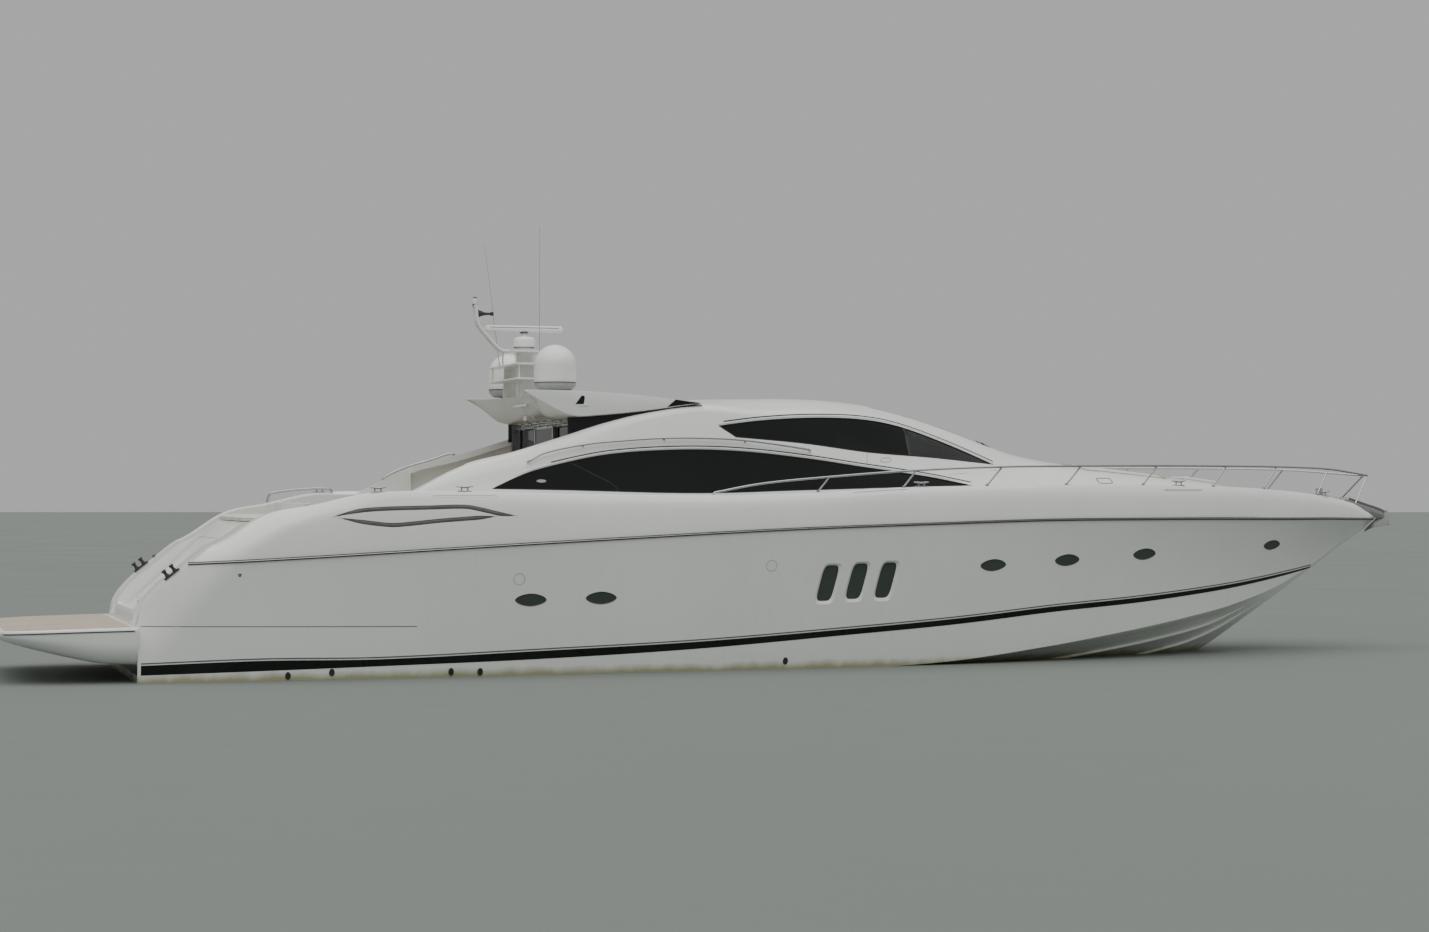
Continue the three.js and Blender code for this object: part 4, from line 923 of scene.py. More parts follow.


# Mullions, gaskets and lips round the windows, with painted shade lines above the lips
for i, side in enumerate((-1, 1)):
    line = [(x, side * MULLION, house_z(x, MULLION) - 0.012) for x in steps(2.36, 4.90, 0.12)]
    piece(tube(f"windscreen_mullion_{i + 1}", line, 0.022, 8, flat=0.5), rubber, "dark")
for label, side in SIDES:
    for window, outline in WINDOWS.items():
        gasket = tube(f"{window}_gasket_{label}", on_house(outline, side, -0.006), 0.009, 8, closed=True)
        piece(gasket, rubber, "dark")
    lip = near_outline(LOWER_TOP[6:-2], 0.032)
    radii = [0.016 * min(1, 0.25 + i / 4, 0.25 + (len(lip) - 1 - i) / 4) for i in range(len(lip))]
    piece(tube(f"lower_window_lip_{label}", on_house(lip, side, 0.002), radii, 10), gelcoat, "gelcoat")
    diagonal = smooth([(-3.40, 3.405), (-3.05, 3.23), (-2.66, 3.02), (-2.60, 2.935)], 6)
    seam, lip, gasket = (seam_dark, "grey"), (gelcoat, "gelcoat"), (rubber, "dark")
    # The dark lines just above the window lips are painted shade lines; the house seams are real seams
    for name, line, proud, radius, sides, flat, look in (
            ("lower_window_seam", near_outline(LOWER_TOP[13:], 0.058), -0.001, 0.012, 6, 1, seam),
            ("upper_window_lip", near_outline(UPPER_TOP, 0.030), 0.0, 0.013, 8, 1, lip),
            ("upper_window_seam", near_outline(UPPER_TOP[1:], 0.062), -0.001, 0.012, 6, 1, seam),
            ("upper_window_post", [(2.70, 4.02), (2.72, 3.78), (2.73, 3.548)], -0.014, 0.028, 8, 0.4, gasket),
            ("lower_window_joint", diagonal, -0.012, 0.006, 6, 1, gasket),
            ("house_seam_band", [(1.88, 3.60), (1.86, 3.50), (1.84, 3.375)], -0.001, 0.004, 6, 1, seam),
            ("house_seam_foot", [(3.06, 3.2), (3.7, 3.238), (4.5, 3.30)], -0.001, 0.004, 6, 1, seam)):
        piece(tube(f"{name}_{label}", on_house(line, side, proud), radius, sides, flat=flat), *look)
    handle = oval(2.22, 3.467, 0.2, 0.075, 32, 2.6, 0.9)
    piece(tube(f"flush_handle_{label}", on_house(handle, side, 0.0), 0.006, 8, closed=True), steel, "steel")
    badge = on_house(oval(-3.88, 3.10, 0.16, 0.05, 28), side, -0.008)
    back = [(x, y - side * 0.012, z) for x, y, z in badge]
    piece(loft(f"window_vent_{label}", [badge, back]), band_grey, "grey")

# Handrails on the house sides
HAND_TOP = smooth(metres([-4090, 3405], [-4040, 3436], [-3850, 3537], [-3160, 3689], [-2470, 3760],
                         [-1780, 3804], [-1080, 3809], [-370, 3774], [740, 3629], [800, 3612]), 6)
waist_y = house_lines[1]
for label, side in SIDES:
    last = len(HAND_TOP) - 1
    path = [(x, side * (waist_y(x) + 0.012 + 0.048 * min(1, i / 5, (last - i) / 5)), z)
            for i, (x, z) in enumerate(HAND_TOP)]
    parts = [tube("rail", path, 0.018, 12)]
    for x, z in ((-3.16, 3.689), (-1.78, 3.804), (-0.37, 3.774)):
        post = [(x, side * (waist_y(x) + 0.06), z), (x, side * (waist_y(x) - 0.006), z - 0.012)]
        parts.append(tube("post", post, 0.010, 10))
        parts.append(lathe("foot", [(0, 0), (0.022, 0), (0.020, 0.006), (0, 0.008)],
                           (x, side * (waist_y(x) - 0.004), z - 0.012), (0, side, 0), 20))
    piece(joined(f"handrail_{label}", parts), steel, "steel", replaces=f"house_handrail_{label}")

# Arch. Columns: x and z at the centre, x and z at the horn, x and z that the bowl adds
ARCH_POINTS = metres([-1050.5, 4470, -1090, 4398, 0, 0], [-2420, 4500, -2420, 4531, 0, 0],
                     [-3100, 4520, -3320, 4570, 0, 0], [-3760, 4530, -4110, 4576, 0, 0],
                     [-3750, 4512, -4105, 4556, 0, 0], [-3520, 4300, -3730, 4349, -85, -150],
                     [-3280, 4135, -3290, 4142, -115, -48], [-2250, 4150, -2250, 4236, 0, -33],
                     [-1050.5, 4310, -1120, 4388, 0, 0])
ARCH = dict(aft=-4.11, long=3.02, half=2.08, taper=0.06)
horn_share, bowl_share = columns([[0, 0, 0.5], [1.1, 0.2, 0.8], [1.65, 0.5, 1], [1.96, 0.86, 0.35],
                                  [2.08, 1, 0]])


def arch_ring(y):
    horn, bowl = horn_share(abs(y)), bowl_share(abs(y))
    points = [(x0 + (x1 - x0) * horn + dx * bowl, z0 + (z1 - z0) * horn + dz * bowl)
              for x0, z0, x1, z1, dx, dz in ARCH_POINTS]
    outline = smooth(points[:4], 6) + rounded(points[4:], [0.3, 0.24, 0.6], 6)
    reach = max(0, (abs(y) - 1.96) / 0.12) * ARCH["taper"]
    return [(x, y - math.copysign(reach * (x - ARCH["aft"]) / ARCH["long"], y), z) for x, z in outline]


arch_ys = steps(0, 1.92, 0.08) + [1.96, 2.0, 2.04, 2.08]
arch_wing = loft("arch_wing", [arch_ring(y) for y in [-y for y in arch_ys[:0:-1]] + arch_ys])
bevel(arch_wing, 0.008, 2, 50)
piece(arch_wing, gelcoat, "gelcoat", replaces="radar_arch", angle=30)


def arch_low(x, y):
    """Height of the arch's underside."""
    return min(crossings([(ring_x, z) for ring_x, _, z in arch_ring(y)], x))


def arch_aft(y, z):
    """Where the arch's aft face stands at a height."""
    return min(crossings([(ring_z, x) for x, _, ring_z in arch_ring(y)], z))


# Satellite domes
DOME = dict(x=-3.46, y=1.58, radius=0.345, low=4.585, straight=4.99)
for label, side in SIDES:
    place = (DOME["x"], side * DOME["y"], 0)
    r, low, high = DOME["radius"], DOME["low"], DOME["straight"]
    wall = [(r - 0.004, low + 0.13), (r, low + 0.14), (r, low + 0.2), (r, high)]
    cap = [(r * math.cos(a), high + r * math.sin(a)) for a in steps(0, math.pi / 2, 0.12)[1:]]
    body = lathe("shell", [(0, low + 0.125), (r - 0.02, low + 0.125)] + wall + cap, place, sides=64)
    piece(body, dome_white, "gelcoat", replaces=f"satellite_dome_{label}", name=f"dome_{label}")
    skirt = [(0, low), (0.24, low), (0.27, low + 0.006), (0.318, low + 0.05), (0.336, low + 0.075),
             (r - 0.006, low + 0.122), (0, low + 0.123)]
    piece(lathe(f"dome_skirt_{label}", skirt, place, sides=64), band_grey, "grey")
    ring = [(place[0] + (r - 0.001) * math.cos(a), place[1] + (r - 0.001) * math.sin(a), low + 0.131)
            for a in steps(0, 2 * math.pi, 0.1)[:-1]]
    piece(tube(f"dome_seam_{label}", ring, 0.004, 6, closed=True), seam_dark, "grey")
    piece(lathe(f"dome_foot_{label}", [(0, 4.50), (0.13, 4.50), (0.12, 4.56), (0.15, low), (0, low)], place),
          gelcoat, "gelcoat")

# Mast
MAST_X = -3.58
SHELF = dict(aft=-3.96, fwd=-3.42, half=1.0, low=4.79, high=5.035, thick=0.032)


def plate(name, aft, fwd, half, low, high):
    outline = rounded([(aft, 0), (aft, half), (fwd, half * 0.97), (fwd, 0)], [0.09, 0.09], 5)
    return prism(name, both_halves(outline), low, high, "z", 0.008, 2)


parts = [plate("shelf", SHELF["aft"], SHELF["fwd"], SHELF["half"], SHELF[k], SHELF[k] + SHELF["thick"])
         for k in ("low", "high")]
parts.append(plate("top_shelf", -3.9, -3.33, 0.52, 5.275, 5.307))
legs = both_halves(rounded([(-3.70, 0), (-3.70, 0.165), (-3.44, 0.165), (-3.44, 0)], [0.05, 0.05], 4))
parts.append(loft("legs", [[(x, y * (1 - 0.29 * t), z) for x, y in legs]
                           for t, z in ((0, 4.50), (0.5, 4.9), (1, 5.28))]))
cheek = rounded([(-3.62, 4.5), (-3.80, 4.5), (-3.78, 5.04), (-3.46, 5.04), (-3.44, 4.5), (-3.62, 4.5)],
                [0.02, 0.03, 0.03, 0.02], 3)[:-1]
parts += [side_prism("cheek", cheek, side, 0.59, 0.62, "y", 0.006, 2) for _, side in SIDES]
for xs, y, low, high in (((-3.90, -3.48), 0.93, 4.8, 5.05), ((-3.84, -3.40), 0.44, 5.05, 5.29)):
    parts += [tube("stay", [(x, side * y, low), (x, side * y, high)], 0.014, 10) for _, side in SIDES
              for x in xs]
piece(joined("mast", parts), gelcoat, "gelcoat", replaces="mast_frame", angle=30)
post = [(0, 5.30), (0.13, 5.30), (0.14, 5.37), (0.17, 5.372), (0.186, 5.385), (0.19, 5.41), (0.19, 5.49),
        (0.18, 5.52), (0.15, 5.545), (0.06, 5.555), (0.045, 5.57), (0.04, 5.625), (0, 5.625)]
piece(lathe("radar_pedestal", post, (MAST_X, 0, 0), sides=48), dome_white, "gelcoat")
piece(lathe("radar_collar", [(0, 5.366), (0.175, 5.366), (0.178, 5.372), (0, 5.373)], (MAST_X, 0, 0)),
      seam_dark, "grey")
poles = []
for _, side in SIDES:
    path = [(x, side * 0.06, z) for x, z in
            rounded([(-3.70, 5.3), (-4.0, 5.3), (-4.40, 5.74), (-4.43, 6.08)], [0.12, 0.12], 6)]
    poles.append(tube("pole", path, 0.028, 14))
poles += [tube("rung", [(x, -0.06, z), (x, 0.06, z)], 0.011, 10) for x, z in
          ((-3.92, 5.3), (-4.18, 5.498), (-4.41, 5.80), (-4.425, 5.97), (-4.43, 6.04))]
poles.append(block("light_plate", (-4.47, -0.07, 6.045), (-4.39, 0.07, 6.058), 0.004))
piece(joined("mast_poles", poles), gelcoat, "gelcoat")
for name, profile, paint, slot in (
        ("base", [(0, 6.05), (0.045, 6.05), (0.045, 6.085), (0.036, 6.092), (0, 6.092)], plastic, "dark"),
        ("lens", [(0, 6.092), (0.036, 6.092), (0.038, 6.10), (0.038, 6.182), (0.034, 6.19), (0, 6.19)],
         lens, "glass"),
        ("cap", [(0, 6.19), (0.04, 6.19), (0.036, 6.2), (0.015, 6.21), (0, 6.21)], plastic, "dark")):
    piece(lathe(f"mast_light_{name}", profile, (-4.43, 0, 0)), paint, slot)
bell = [(0, 0.002), (0.04, 0.0), (0.055, 0.0), (0.054, 0.008), (0.043, 0.035), (0.030, 0.08), (0.022, 0.15),
        (0.02, 0.19), (0.032, 0.2), (0.034, 0.245), (0.02, 0.252), (0, 0.252)]
bracket = [(-4.425, 0, 5.97), (-4.38, 0, 5.985), (-4.30, 0, 5.96), (-4.27, 0, 5.94)]
horn = [lathe("bell", bell, (-4.362, 0, 5.927), (1, 0, 0.02), 32), tube("horn_bracket", bracket, 0.01, 8)]
piece(joined("horn", horn), rubber, "dark")
whips = []
for foot, tip in (((-3.564, -0.975, 5.06), (-3.564, -0.975, 7.33)),
                  ((-3.76, 0.975, 5.06), (-4.03, 0.975, 7.19))):
    line = [Vector(foot).lerp(Vector(tip), t) for t in (0, 0.03, 0.06, 0.5, 1)]
    whips.append(tube("whip", line, [0.016, 0.016, 0.008, 0.005, 0.003], 10))
piece(joined("whip_aerials", whips), seam_pale, "grey")
HOOKS_X = -3.235
hooks = [tube("rail", [(HOOKS_X, y, arch_low(HOOKS_X, y) - 0.010) for y in steps(-1.5, 1.5, 0.1)], 0.014, 10)]
for y in (-1.35, -0.81, -0.27, 0.27, 0.81, 1.35):
    z = arch_low(HOOKS_X, y) - 0.012
    hook = [(HOOKS_X, 0), (-3.262, 0.03), (-3.262, 0.062), (HOOKS_X, 0.078), (-3.212, 0.06)]
    hooks += [tube("hook", smooth([(x, y, z - drop) for x, drop in hook], 4), 0.011, 10),
              block("foot", (-3.27, y - 0.03, z - 0.008), (-3.20, y + 0.03, z + 0.012), 0.004)]
LAMP_Z = 4.365
lamp_x = min(arch_aft(y, LAMP_Z) for y in steps(-0.8, 0.1, 0.1)) - 0.034
lamp = [(lamp_x, y, LAMP_Z) for y in (-0.78, -0.76, 0.04, 0.06)]
hooks.append(tube("lamp", lamp, [0.02, 0.028, 0.028, 0.02], 16))
hooks += [block("lamp_foot", (lamp_x, y - 0.015, LAMP_Z - 0.012),
                (arch_aft(y, LAMP_Z) + 0.01, y + 0.015, LAMP_Z + 0.012), 0.003) for y in (-0.6, -0.12)]
piece(joined("arch_fittings", hooks), dome_white, "gelcoat")

# Radar scanner, on its own body
section = rounded([(0, 5.632), (-0.05, 5.632), (-0.06, 5.67), (-0.045, 5.738), (0, 5.74)],
                  [0.02, 0.03, 0.03], 4)
section += [(-y, z) for y, z in section[-2:0:-1]]
scan = []
for x in steps(-0.68, 0.68, 0.04):
    end = min(1, ((0.68 - abs(x)) / 0.05 + 0.35))
    scan.append([(MAST_X + x, y * end, 5.686 + (z - 5.686) * min(1, end + 0.1)) for y, z in section])
piece(loft("radar_bar", scan), dome_white, "gelcoat", body="radar_scanner", replaces="radar_scanner",
      angle=40)
face = [[(MAST_X + x, -0.054, z) for z in (5.655, 5.715)] + [(MAST_X + x, -0.045, z) for z in (5.715, 5.655)]
        for x in (-0.6, 0.6)]
piece(loft("radar_face", face), band_grey, "grey", body="radar_scanner")
hub = [(0, 5.612), (0.07, 5.612), (0.075, 5.622), (0.06, 5.64), (0, 5.64)]
piece(lathe("radar_hub", hub, (MAST_X, 0, 0)), plastic, "dark", body="radar_scanner")

# Fittings under and on the arch
SPOTS_X = -3.30
for i, y in enumerate((1.3, 0.78, 0.26, -0.26, -0.78, -1.3)):
    place = (SPOTS_X, y, arch_low(SPOTS_X, y))
    rim = [(0, 0.03), (0.045, 0.03), (0.055, 0.0), (0.052, -0.012), (0.036, -0.014), (0.034, -0.004),
           (0, -0.004)]
    piece(lathe(f"spot_rim_{i + 1}", rim, place, sides=24), steel, "steel")
    bulb = [(0, 0.0), (0.033, 0.0), (0.033, -0.009), (0, -0.012)]
    piece(lathe(f"spot_lens_{i + 1}", bulb, place, sides=24), lens, "glass")
bar_low = arch_low(-3.42, 0.0)
piece(block("wing_light", (-3.57, -0.09, bar_low - 0.03), (-3.28, 0.09, bar_low + 0.06), 0.02), lens, "glass")
for label, side in SIDES:
    recess = [(-3.25, 4.35), (-3.11, 4.35), (-3.09, 4.48), (-3.14, 4.495)]
    recess = rounded(recess + [recess[0]], [0.02] * 3, 3)[:-1]
    piece(side_prism(f"nav_light_{label}", recess, side, 2.062, 2.068), screen_black, "dark")
    y0, y1 = sorted((side * 2.058, side * 2.078))
    piece(block(f"nav_light_sill_{label}", (-3.20, y0, 4.330), (-3.04, y1, 4.348), 0.003), gelcoat, "gelcoat")


def fin_y(x):
    """Half-breadth of the arch's outer side."""
    return ARCH["half"] - ARCH["taper"] * (x - ARCH["aft"]) / ARCH["long"]


shell_tree = BVHTree.FromPolygons([v.co[:] for v in hull_shell.data.vertices],
                                  [tuple(p.vertices) for p in hull_shell.data.polygons])


def shell_y(x, z, side):
    """Where a line across the boat first meets the hull's skin on one side."""
    return shell_tree.ray_cast(Vector((x, side * 4, z)), Vector((0, -side, 0)))[0].y


for label, side in SIDES:
    tip = [(-1.68, 4.322), (-1.53, 4.446), (-1.30, 4.418), (-1.07, 4.393), (-1.30, 4.372)]
    rings = [[(x, side * (fin_y(x) + lift), z) for x, z in tip] for lift in (-0.02, 0.003)]
    piece(loft(f"wing_end_glass_{label}", rings), screen_black, "glass")
    slot_line = [(x, shell_y(x, z, side) + side * 0.002, z) for x, z in oval(6.72, 3.125, 0.31, 0.09, 40, 5)]
    piece(tube(f"trunk_vent_{label}", slot_line, 0.008, 8, closed=True), groove_grey, "grey")
    arm = [(4.985, side * 0.14), (4.86, side * 0.30), (4.66, side * 0.50)]
    blade_line = [(4.90, side * 0.16), (4.70, side * 0.44), (4.48, side * 0.66)]
    wiper = [tube("arm", [(x, y, house_z(x, abs(y)) + 0.016) for x, y in arm], [0.009, 0.008, 0.006], 8),
             tube("rubber", [(x, y, house_z(x, abs(y)) + 0.008) for x, y in blade_line], 0.007, 8),
             lathe("pivot", [(0, -0.03), (0.026, -0.03), (0.024, 0.014), (0.016, 0.024), (0, 0.024)],
                   (4.985, side * 0.14, house_z(4.985, 0.14)), sides=20)]
    piece(joined(f"wiper_{label}", wiper), plastic, "dark")

# Foredeck rails
RAIL_POSTS = metres([690, 890, 3172], [2220, 2455, 3285], [3770, 4070, 3349], [5330, 5630, 3369],
                    [6920, 7230, 3381], [8500, 8820, 3383], [9760, 10090, 3379], [11220, 11550, 3350])
RAIL_TOP = metres([-1100, 2915], [-330, 3054], [890, 3172], [2455, 3285], [4070, 3349], [5630, 3369],
                  [7230, 3381], [8820, 3383], [10090, 3379], [11550, 3350], [12280, 3291], [12860, 3240])


def rail_y(x):
    """Half-breadth of the foredeck's rail."""
    return max(knuckle_y(x) - 0.155, 0.06)


FOOT = [(0, 0), (0.036, 0), (0.036, 0.004), (0.022, 0.009), (0.018, 0.03), (0, 0.03)]
for label, side in SIDES:
    path = smooth([(x, side * rail_y(x), z) for x, z in RAIL_TOP], 8)
    path = [(-1.13, side * rail_y(-1.13), edge_z(-1.13) + 0.005)] + path
    parts = [tube("top", path, 0.018, 12)]
    for foot, head, z in RAIL_POSTS + [[12.42, 12.86, 3.25]]:
        y = side * rail_y(foot)
        post = [(foot, y, edge_z(foot) + 0.003), (head, side * rail_y(head), z)]
        parts.append(tube("post", post, 0.0155, 10))
        parts.append(lathe("foot", FOOT, (foot, y, edge_z(foot) + 0.002), sides=20))
    piece(joined(f"bow_rail_fine_{label}", parts), steel, "steel", replaces=f"bow_rail_{label}")

# Bathing platform. Columns: x, half-breadth, top, bottom
PLATFORM = metres([-12330, 1700, 800, 705], [-12180, 2060, 812, 640], [-11750, 2300, 828, 520],
                  [-11200, 2390, 842, 385], [-10800, 2430, 850, 305], [-10256, 2470, 858, 270])
platform_y, platform_top, platform_low = columns(PLATFORM)


def platform_ring(x):
    y, top, low = platform_y(x), platform_top(x), platform_low(x)
    half = rounded([(0, low), (y - 0.22, low), (y - 0.03, low + (top - low) * 0.4), (y, top - 0.05),
                    (y - 0.012, top - 0.012), (y - 0.05, top), (0, top)], [0.15, 0.12, 0.03, 0.01, 0.02], 4)
    return across(x, half)


aft_end = [-12.33, -12.32, -12.29, -12.24]
platform = loft("platform", [platform_ring(x) for x in aft_end + steps(-12.18, -10.256, 0.08)])
piece(platform, gelcoat, "gelcoat", replaces="bathing_platform", angle=30)
boards = []
for y0, y1 in ((-2.24, -0.76), (-0.72, 0.72), (0.76, 2.24)):
    rings = []
    for x in steps(-12.18, -10.34, 0.06):
        a, b = max(y0, -platform_y(x) + 0.12), min(y1, platform_y(x) - 0.12)
        z = platform_top(x)
        rings.append([(x, a, z - 0.004), (x, b, z - 0.004), (x, b, z + 0.006), (x, a, z + 0.006)])
    boards.append(loft("board", rings))
piece(joined("platform_teak", boards), teak, "teak")
fender = [(-12.328, 0, 0.753), (-12.325, 1.6, 0.753), (-12.29, 1.78, 0.756)]
fender += [(x, platform_y(x) + 0.001, platform_top(x) - 0.052) for x in steps(-12.18, -10.3, 0.06)]
fender = [(x, -y, z) for x, y, z in fender[:0:-1]] + fender
piece(tube("platform_fender", fender, 0.010, 8), rub_grey, "grey")


# Fittings on the hull
def tube_on_side(name, points, side, radius, closed=False):
    return tube(name, on_side(points, side, 0.0), radius, 8, closed=closed)


for label, side in SIDES:
    fittings = []
    for place, x, z in (("fwd", -0.128, 1.721), ("aft", -4.366, 1.545)):
        ring = tube_on_side(f"flush_ring_{label}_{place}", oval(x, z, 0.18, 0.18, 40), side, 0.005, True)
        piece(ring, seam_pale, "grey")
    for i, (x, z) in enumerate(((-7.97, 0.07), (-7.29, 0.11), (-5.40, 0.08), (-4.93, 0.07), (0.232, 0.135))):
        outer, inner = oval(x, z, 0.085, 0.12, 28), oval(x, z, 0.058, 0.08, 28)
        fittings.append(side_frame("outlet", outer, inner, side, -0.012, -0.012, 0.02))
        # The outlet's mouth is a dark disc: painted shade in its opening
        mouth = side_disc(f"outlet_mouth_{label}_{i + 1}", oval(x, z, 0.058, 0.08, 20), side, -0.003, 0.01)
        piece(mouth, rubber, "dark")
    outer, inner = (oval(-8.742, 1.647, wide, wide, 20) for wide in (0.05, 0.02))
    fittings.append(side_frame("drain", outer, inner, side, -0.006, -0.006, 0.01))
    piece(joined(f"skin_fittings_{label}", fittings), rubber, "dark")
    seam = [(x, 0.871 - 0.057 * (x + 10.2) / 4.23) for x in steps(-10.2, -5.97, 0.15)]
    piece(tube_on_side(f"moulding_seam_{label}", seam, side, 0.005), seam_dark, "grey")
    seam = [(x, edge_z(x) - 0.035) for x in steps(1.3, 2.26, 0.12)]
    piece(tube_on_side(f"cap_seam_{label}", seam, side, 0.004), seam_dark, "grey")
    strakes = []
    for share, aft, fwd in ((0.68, 2.0, 10.2), (0.42, 4.0, 10.6)):
        rings = []
        for x in steps(aft, fwd, 0.12):
            fade = min(1, (x - aft) / 0.6 + 0.05, (fwd - x) / 1.2 + 0.05)
            (y0, z0), (y1, z1) = bottom_point(x, share - 0.03 * fade), bottom_point(x, share)
            y2, z2 = bottom_point(x, share + 0.012)
            normal = Vector((z1 - z0, y0 - y1)).normalized() * 0.045 * fade
            ring = [(y0, z0 + 0.004), (y1 + normal.x + 0.01 * fade, z1 + normal.y + 0.012),
                    (y1 + normal.x, z1 + normal.y + 0.03 * fade + 0.012), (y2, z2 + 0.02)]
            rings.append([(x, side * y, z) for y, z in ring])
        strakes.append(loft("strake", rings))
    piece(joined(f"spray_strakes_{label}", strakes), hull_paint, "gelcoat")

    # Mooring slots, cleats and fairleads
    slots = []
    for place, aft, fwd in (("aft", -5.77, -4.72), ("fwd", 7.34, 8.19)):
        middle = (aft + fwd) / 2, edge_z((aft + fwd) / 2) - 0.075
        mouth = oval(*middle, fwd - aft - 0.02, 0.014, 48, 5)
        rim = oval(*middle, fwd - aft, 0.028, 48, 5)
        slots.append(side_frame("slot", rim, mouth, side, -0.004, 0.0, 0.02))
        # The slot's mouth is a dark disc: painted shade in its opening
        piece(side_disc(f"slot_mouth_{label}_{place}", mouth, side, 0.001, 0.01), seam_dark, "dark")
    piece(joined(f"mooring_slots_{label}", slots), steel, "steel")
    cleats = []
    for x in (-6.6, -5.23, 2.55, 7.71, 11.4):
        y, z = side * (rail_y(x) - 0.005), edge_z(x) + 0.003
        cleats += [block("base", (x - 0.11, y - 0.035, z), (x + 0.11, y + 0.035, z + 0.012), 0.005)]
        cleats += [tube("leg", [(x + u, y, z), (x + u, y, z + 0.06)], 0.014, 10) for u in (-0.05, 0.05)]
        horns = [(x + u, y, z + 0.062 + abs(u) * 0.12) for u in (-0.14, -0.09, -0.04, 0, 0.04, 0.09, 0.14)]
        cleats.append(tube("horns", horns, [0.007, 0.013, 0.016, 0.016, 0.016, 0.013, 0.007], 12))
    piece(joined(f"cleats_{label}", cleats), steel, "steel")
    x, y, z = -9.72, side * 2.2, 1.66
    lead = [block("base", (x - 0.14, y - 0.05, z - 0.02), (x + 0.14, y + 0.05, z + 0.012), 0.006)]
    roller = [(0, 0), (0.035, 0), (0.038, 0.01), (0.026, 0.04), (0.026, 0.07), (0.04, 0.1), (0.034, 0.115),
              (0, 0.118)]
    lead += [lathe("roller", roller, (x + u, y, z + 0.01), sides=20) for u in (-0.07, 0.07)]
    lead = turned(joined("leads", lead), math.radians(-38), "Y", (x, y, z))
    piece(lead, rubber, "dark", name=f"transom_fairlead_{label}")

# Stern: steps, door, rails
for label, side in SIDES:
    treads = []
    y0, y1 = sorted((side * (STEP_IN + 0.04), side * (STEP_OUT - 0.04)))
    for i, (x0, z) in enumerate(STEPS):
        x1 = STEPS[i + 1][0] - 0.02 if i + 1 < len(STEPS) else -7.62
        treads.append(block("tread", (max(x0 + 0.035, -10.22), y0, z - 0.004), (x1, y1, z + 0.008), 0.004, 2))
    piece(joined(f"step_treads_{label}", treads), teak, "teak")
    ys = side * (STEP_IN + 0.01), side * (STEP_OUT - 0.01)
    nosing = [tube("nosing", [(x + 0.012, y, z + 0.001) for y in ys], 0.009, 8) for x, z in STEPS[1:]]
    piece(joined(f"step_nosings_{label}", nosing), seam_pale, "grey")
door = prism("garage_door_leaf", door_outline(0.0), -DOOR_HALF, DOOR_HALF, "y")
bevel(door, 0.014, 3, 40)
piece(door, gelcoat, "gelcoat", body="garage_door", replaces="garage_door", angle=30)
ring = [(*on_door(DOOR_LOW, u, 0.001), y) for u, y in round_box(1.66, 0.22, -1.16, 1.16, 0.12, 5)]
piece(tube("garage_door_seam", [(x, y, z) for x, z, y in ring], 0.005, 8, closed=True), seam_pale, "grey",
      body="garage_door")
grip = [(*on_door(DOOR_LOW, 0.14, v), y)
        for v, y in ((0.0, -0.16), (-0.03, -0.14), (-0.03, 0.14), (0.0, 0.16))]
piece(tube("garage_door_grip", [(x, y, z) for x, z, y in grip], 0.010, 10), steel, "steel",
      body="garage_door")
outer_rails = ([(-7.52, 2.60, 2.745), (-7.50, 2.585, 2.84), (-7.44, 2.57, 2.905), (-7.25, 2.57, 2.94),
                (-6.947, 2.58, 2.972), (-6.55, 2.585, 2.985), (-6.42, 2.59, 2.965), (-6.38, 2.60, 2.90)],
               [(-5.60, 2.20, 3.04), (-5.54, 2.19, 3.17), (-5.24, 2.17, 3.33), (-4.7, 2.13, 3.50),
                (-4.36, 2.10, 3.60), (-4.30, 2.09, 3.57)])
rails = [tube("rail", smooth(points, 6), 0.022, 12) for points in outer_rails]
piece(joined("cockpit_rails_port", rails), steel, "steel")
inner_rail = [(-5.5, -2.09, 2.98), (-5.44, -2.04, 3.02), (-5.0, -2.03, 3.14), (-4.4, -2.02, 3.3),
              (-4.34, -2.07, 3.32)]
piece(tube("cockpit_rail_stbd", smooth(inner_rail, 6), 0.014, 12), steel, "steel")


# Bow: roller, anchor, windlass, chain, hatch
def trunk_z(x):
    """Height of the trunk's crown."""
    return trunk_lines[4](x)


cheek = [(12.45, 2.66), (12.82, 2.52), (13.05, 2.445), (13.2, 2.42), (13.24, 2.5), (13.16, 2.56),
         (12.9, 2.64), (12.45, 2.79)]
floor = [(12.45, 2.66), (12.82, 2.52), (13.1, 2.44), (13.1, 2.452), (12.82, 2.534), (12.45, 2.674)]
parts = [side_prism("cheek", cheek, side, 0.058, 0.072, "y", 0.004, 2) for _, side in SIDES]
parts.append(prism("floor", floor, -0.06, 0.06))
parts += [tube("axle", [(x, -0.078, z), (x, 0.078, z)], 0.012, 12) for x, z in ((13.18, 2.47), (12.86, 2.56))]
piece(joined("bow_roller_fine", parts), steel, "steel", replaces="bow_roller")
wheel = [(0, -0.055), (0.045, -0.055), (0.048, -0.045), (0.024, -0.012)]
wheel += [(r, -z) for r, z in wheel[::-1]]
piece(lathe("bow_roller_wheel", wheel, (13.18, 0, 2.47), (0, 1, 0), 28), rubber, "dark")
shank = smooth([(12.50, 2.806), (12.9, 2.68), (13.22, 2.575), (13.315, 2.50), (13.33, 2.40)], 6)
rings = []
for i, (x, z) in enumerate(shank):
    t = i / (len(shank) - 1)
    a, b = shank[max(i - 1, 0)], shank[min(i + 1, len(shank) - 1)]
    n = Vector((a[1] - b[1], b[0] - a[0])).normalized() * (0.017 + 0.018 * t)
    w = 0.013
    rings.append([(x + n.x, -w, z + n.y), (x + n.x, w, z + n.y), (x - n.x, w, z - n.y),
                  (x - n.x, -w, z - n.y)])
parts = [bevel(loft("shank", rings), 0.004, 2, 50)]
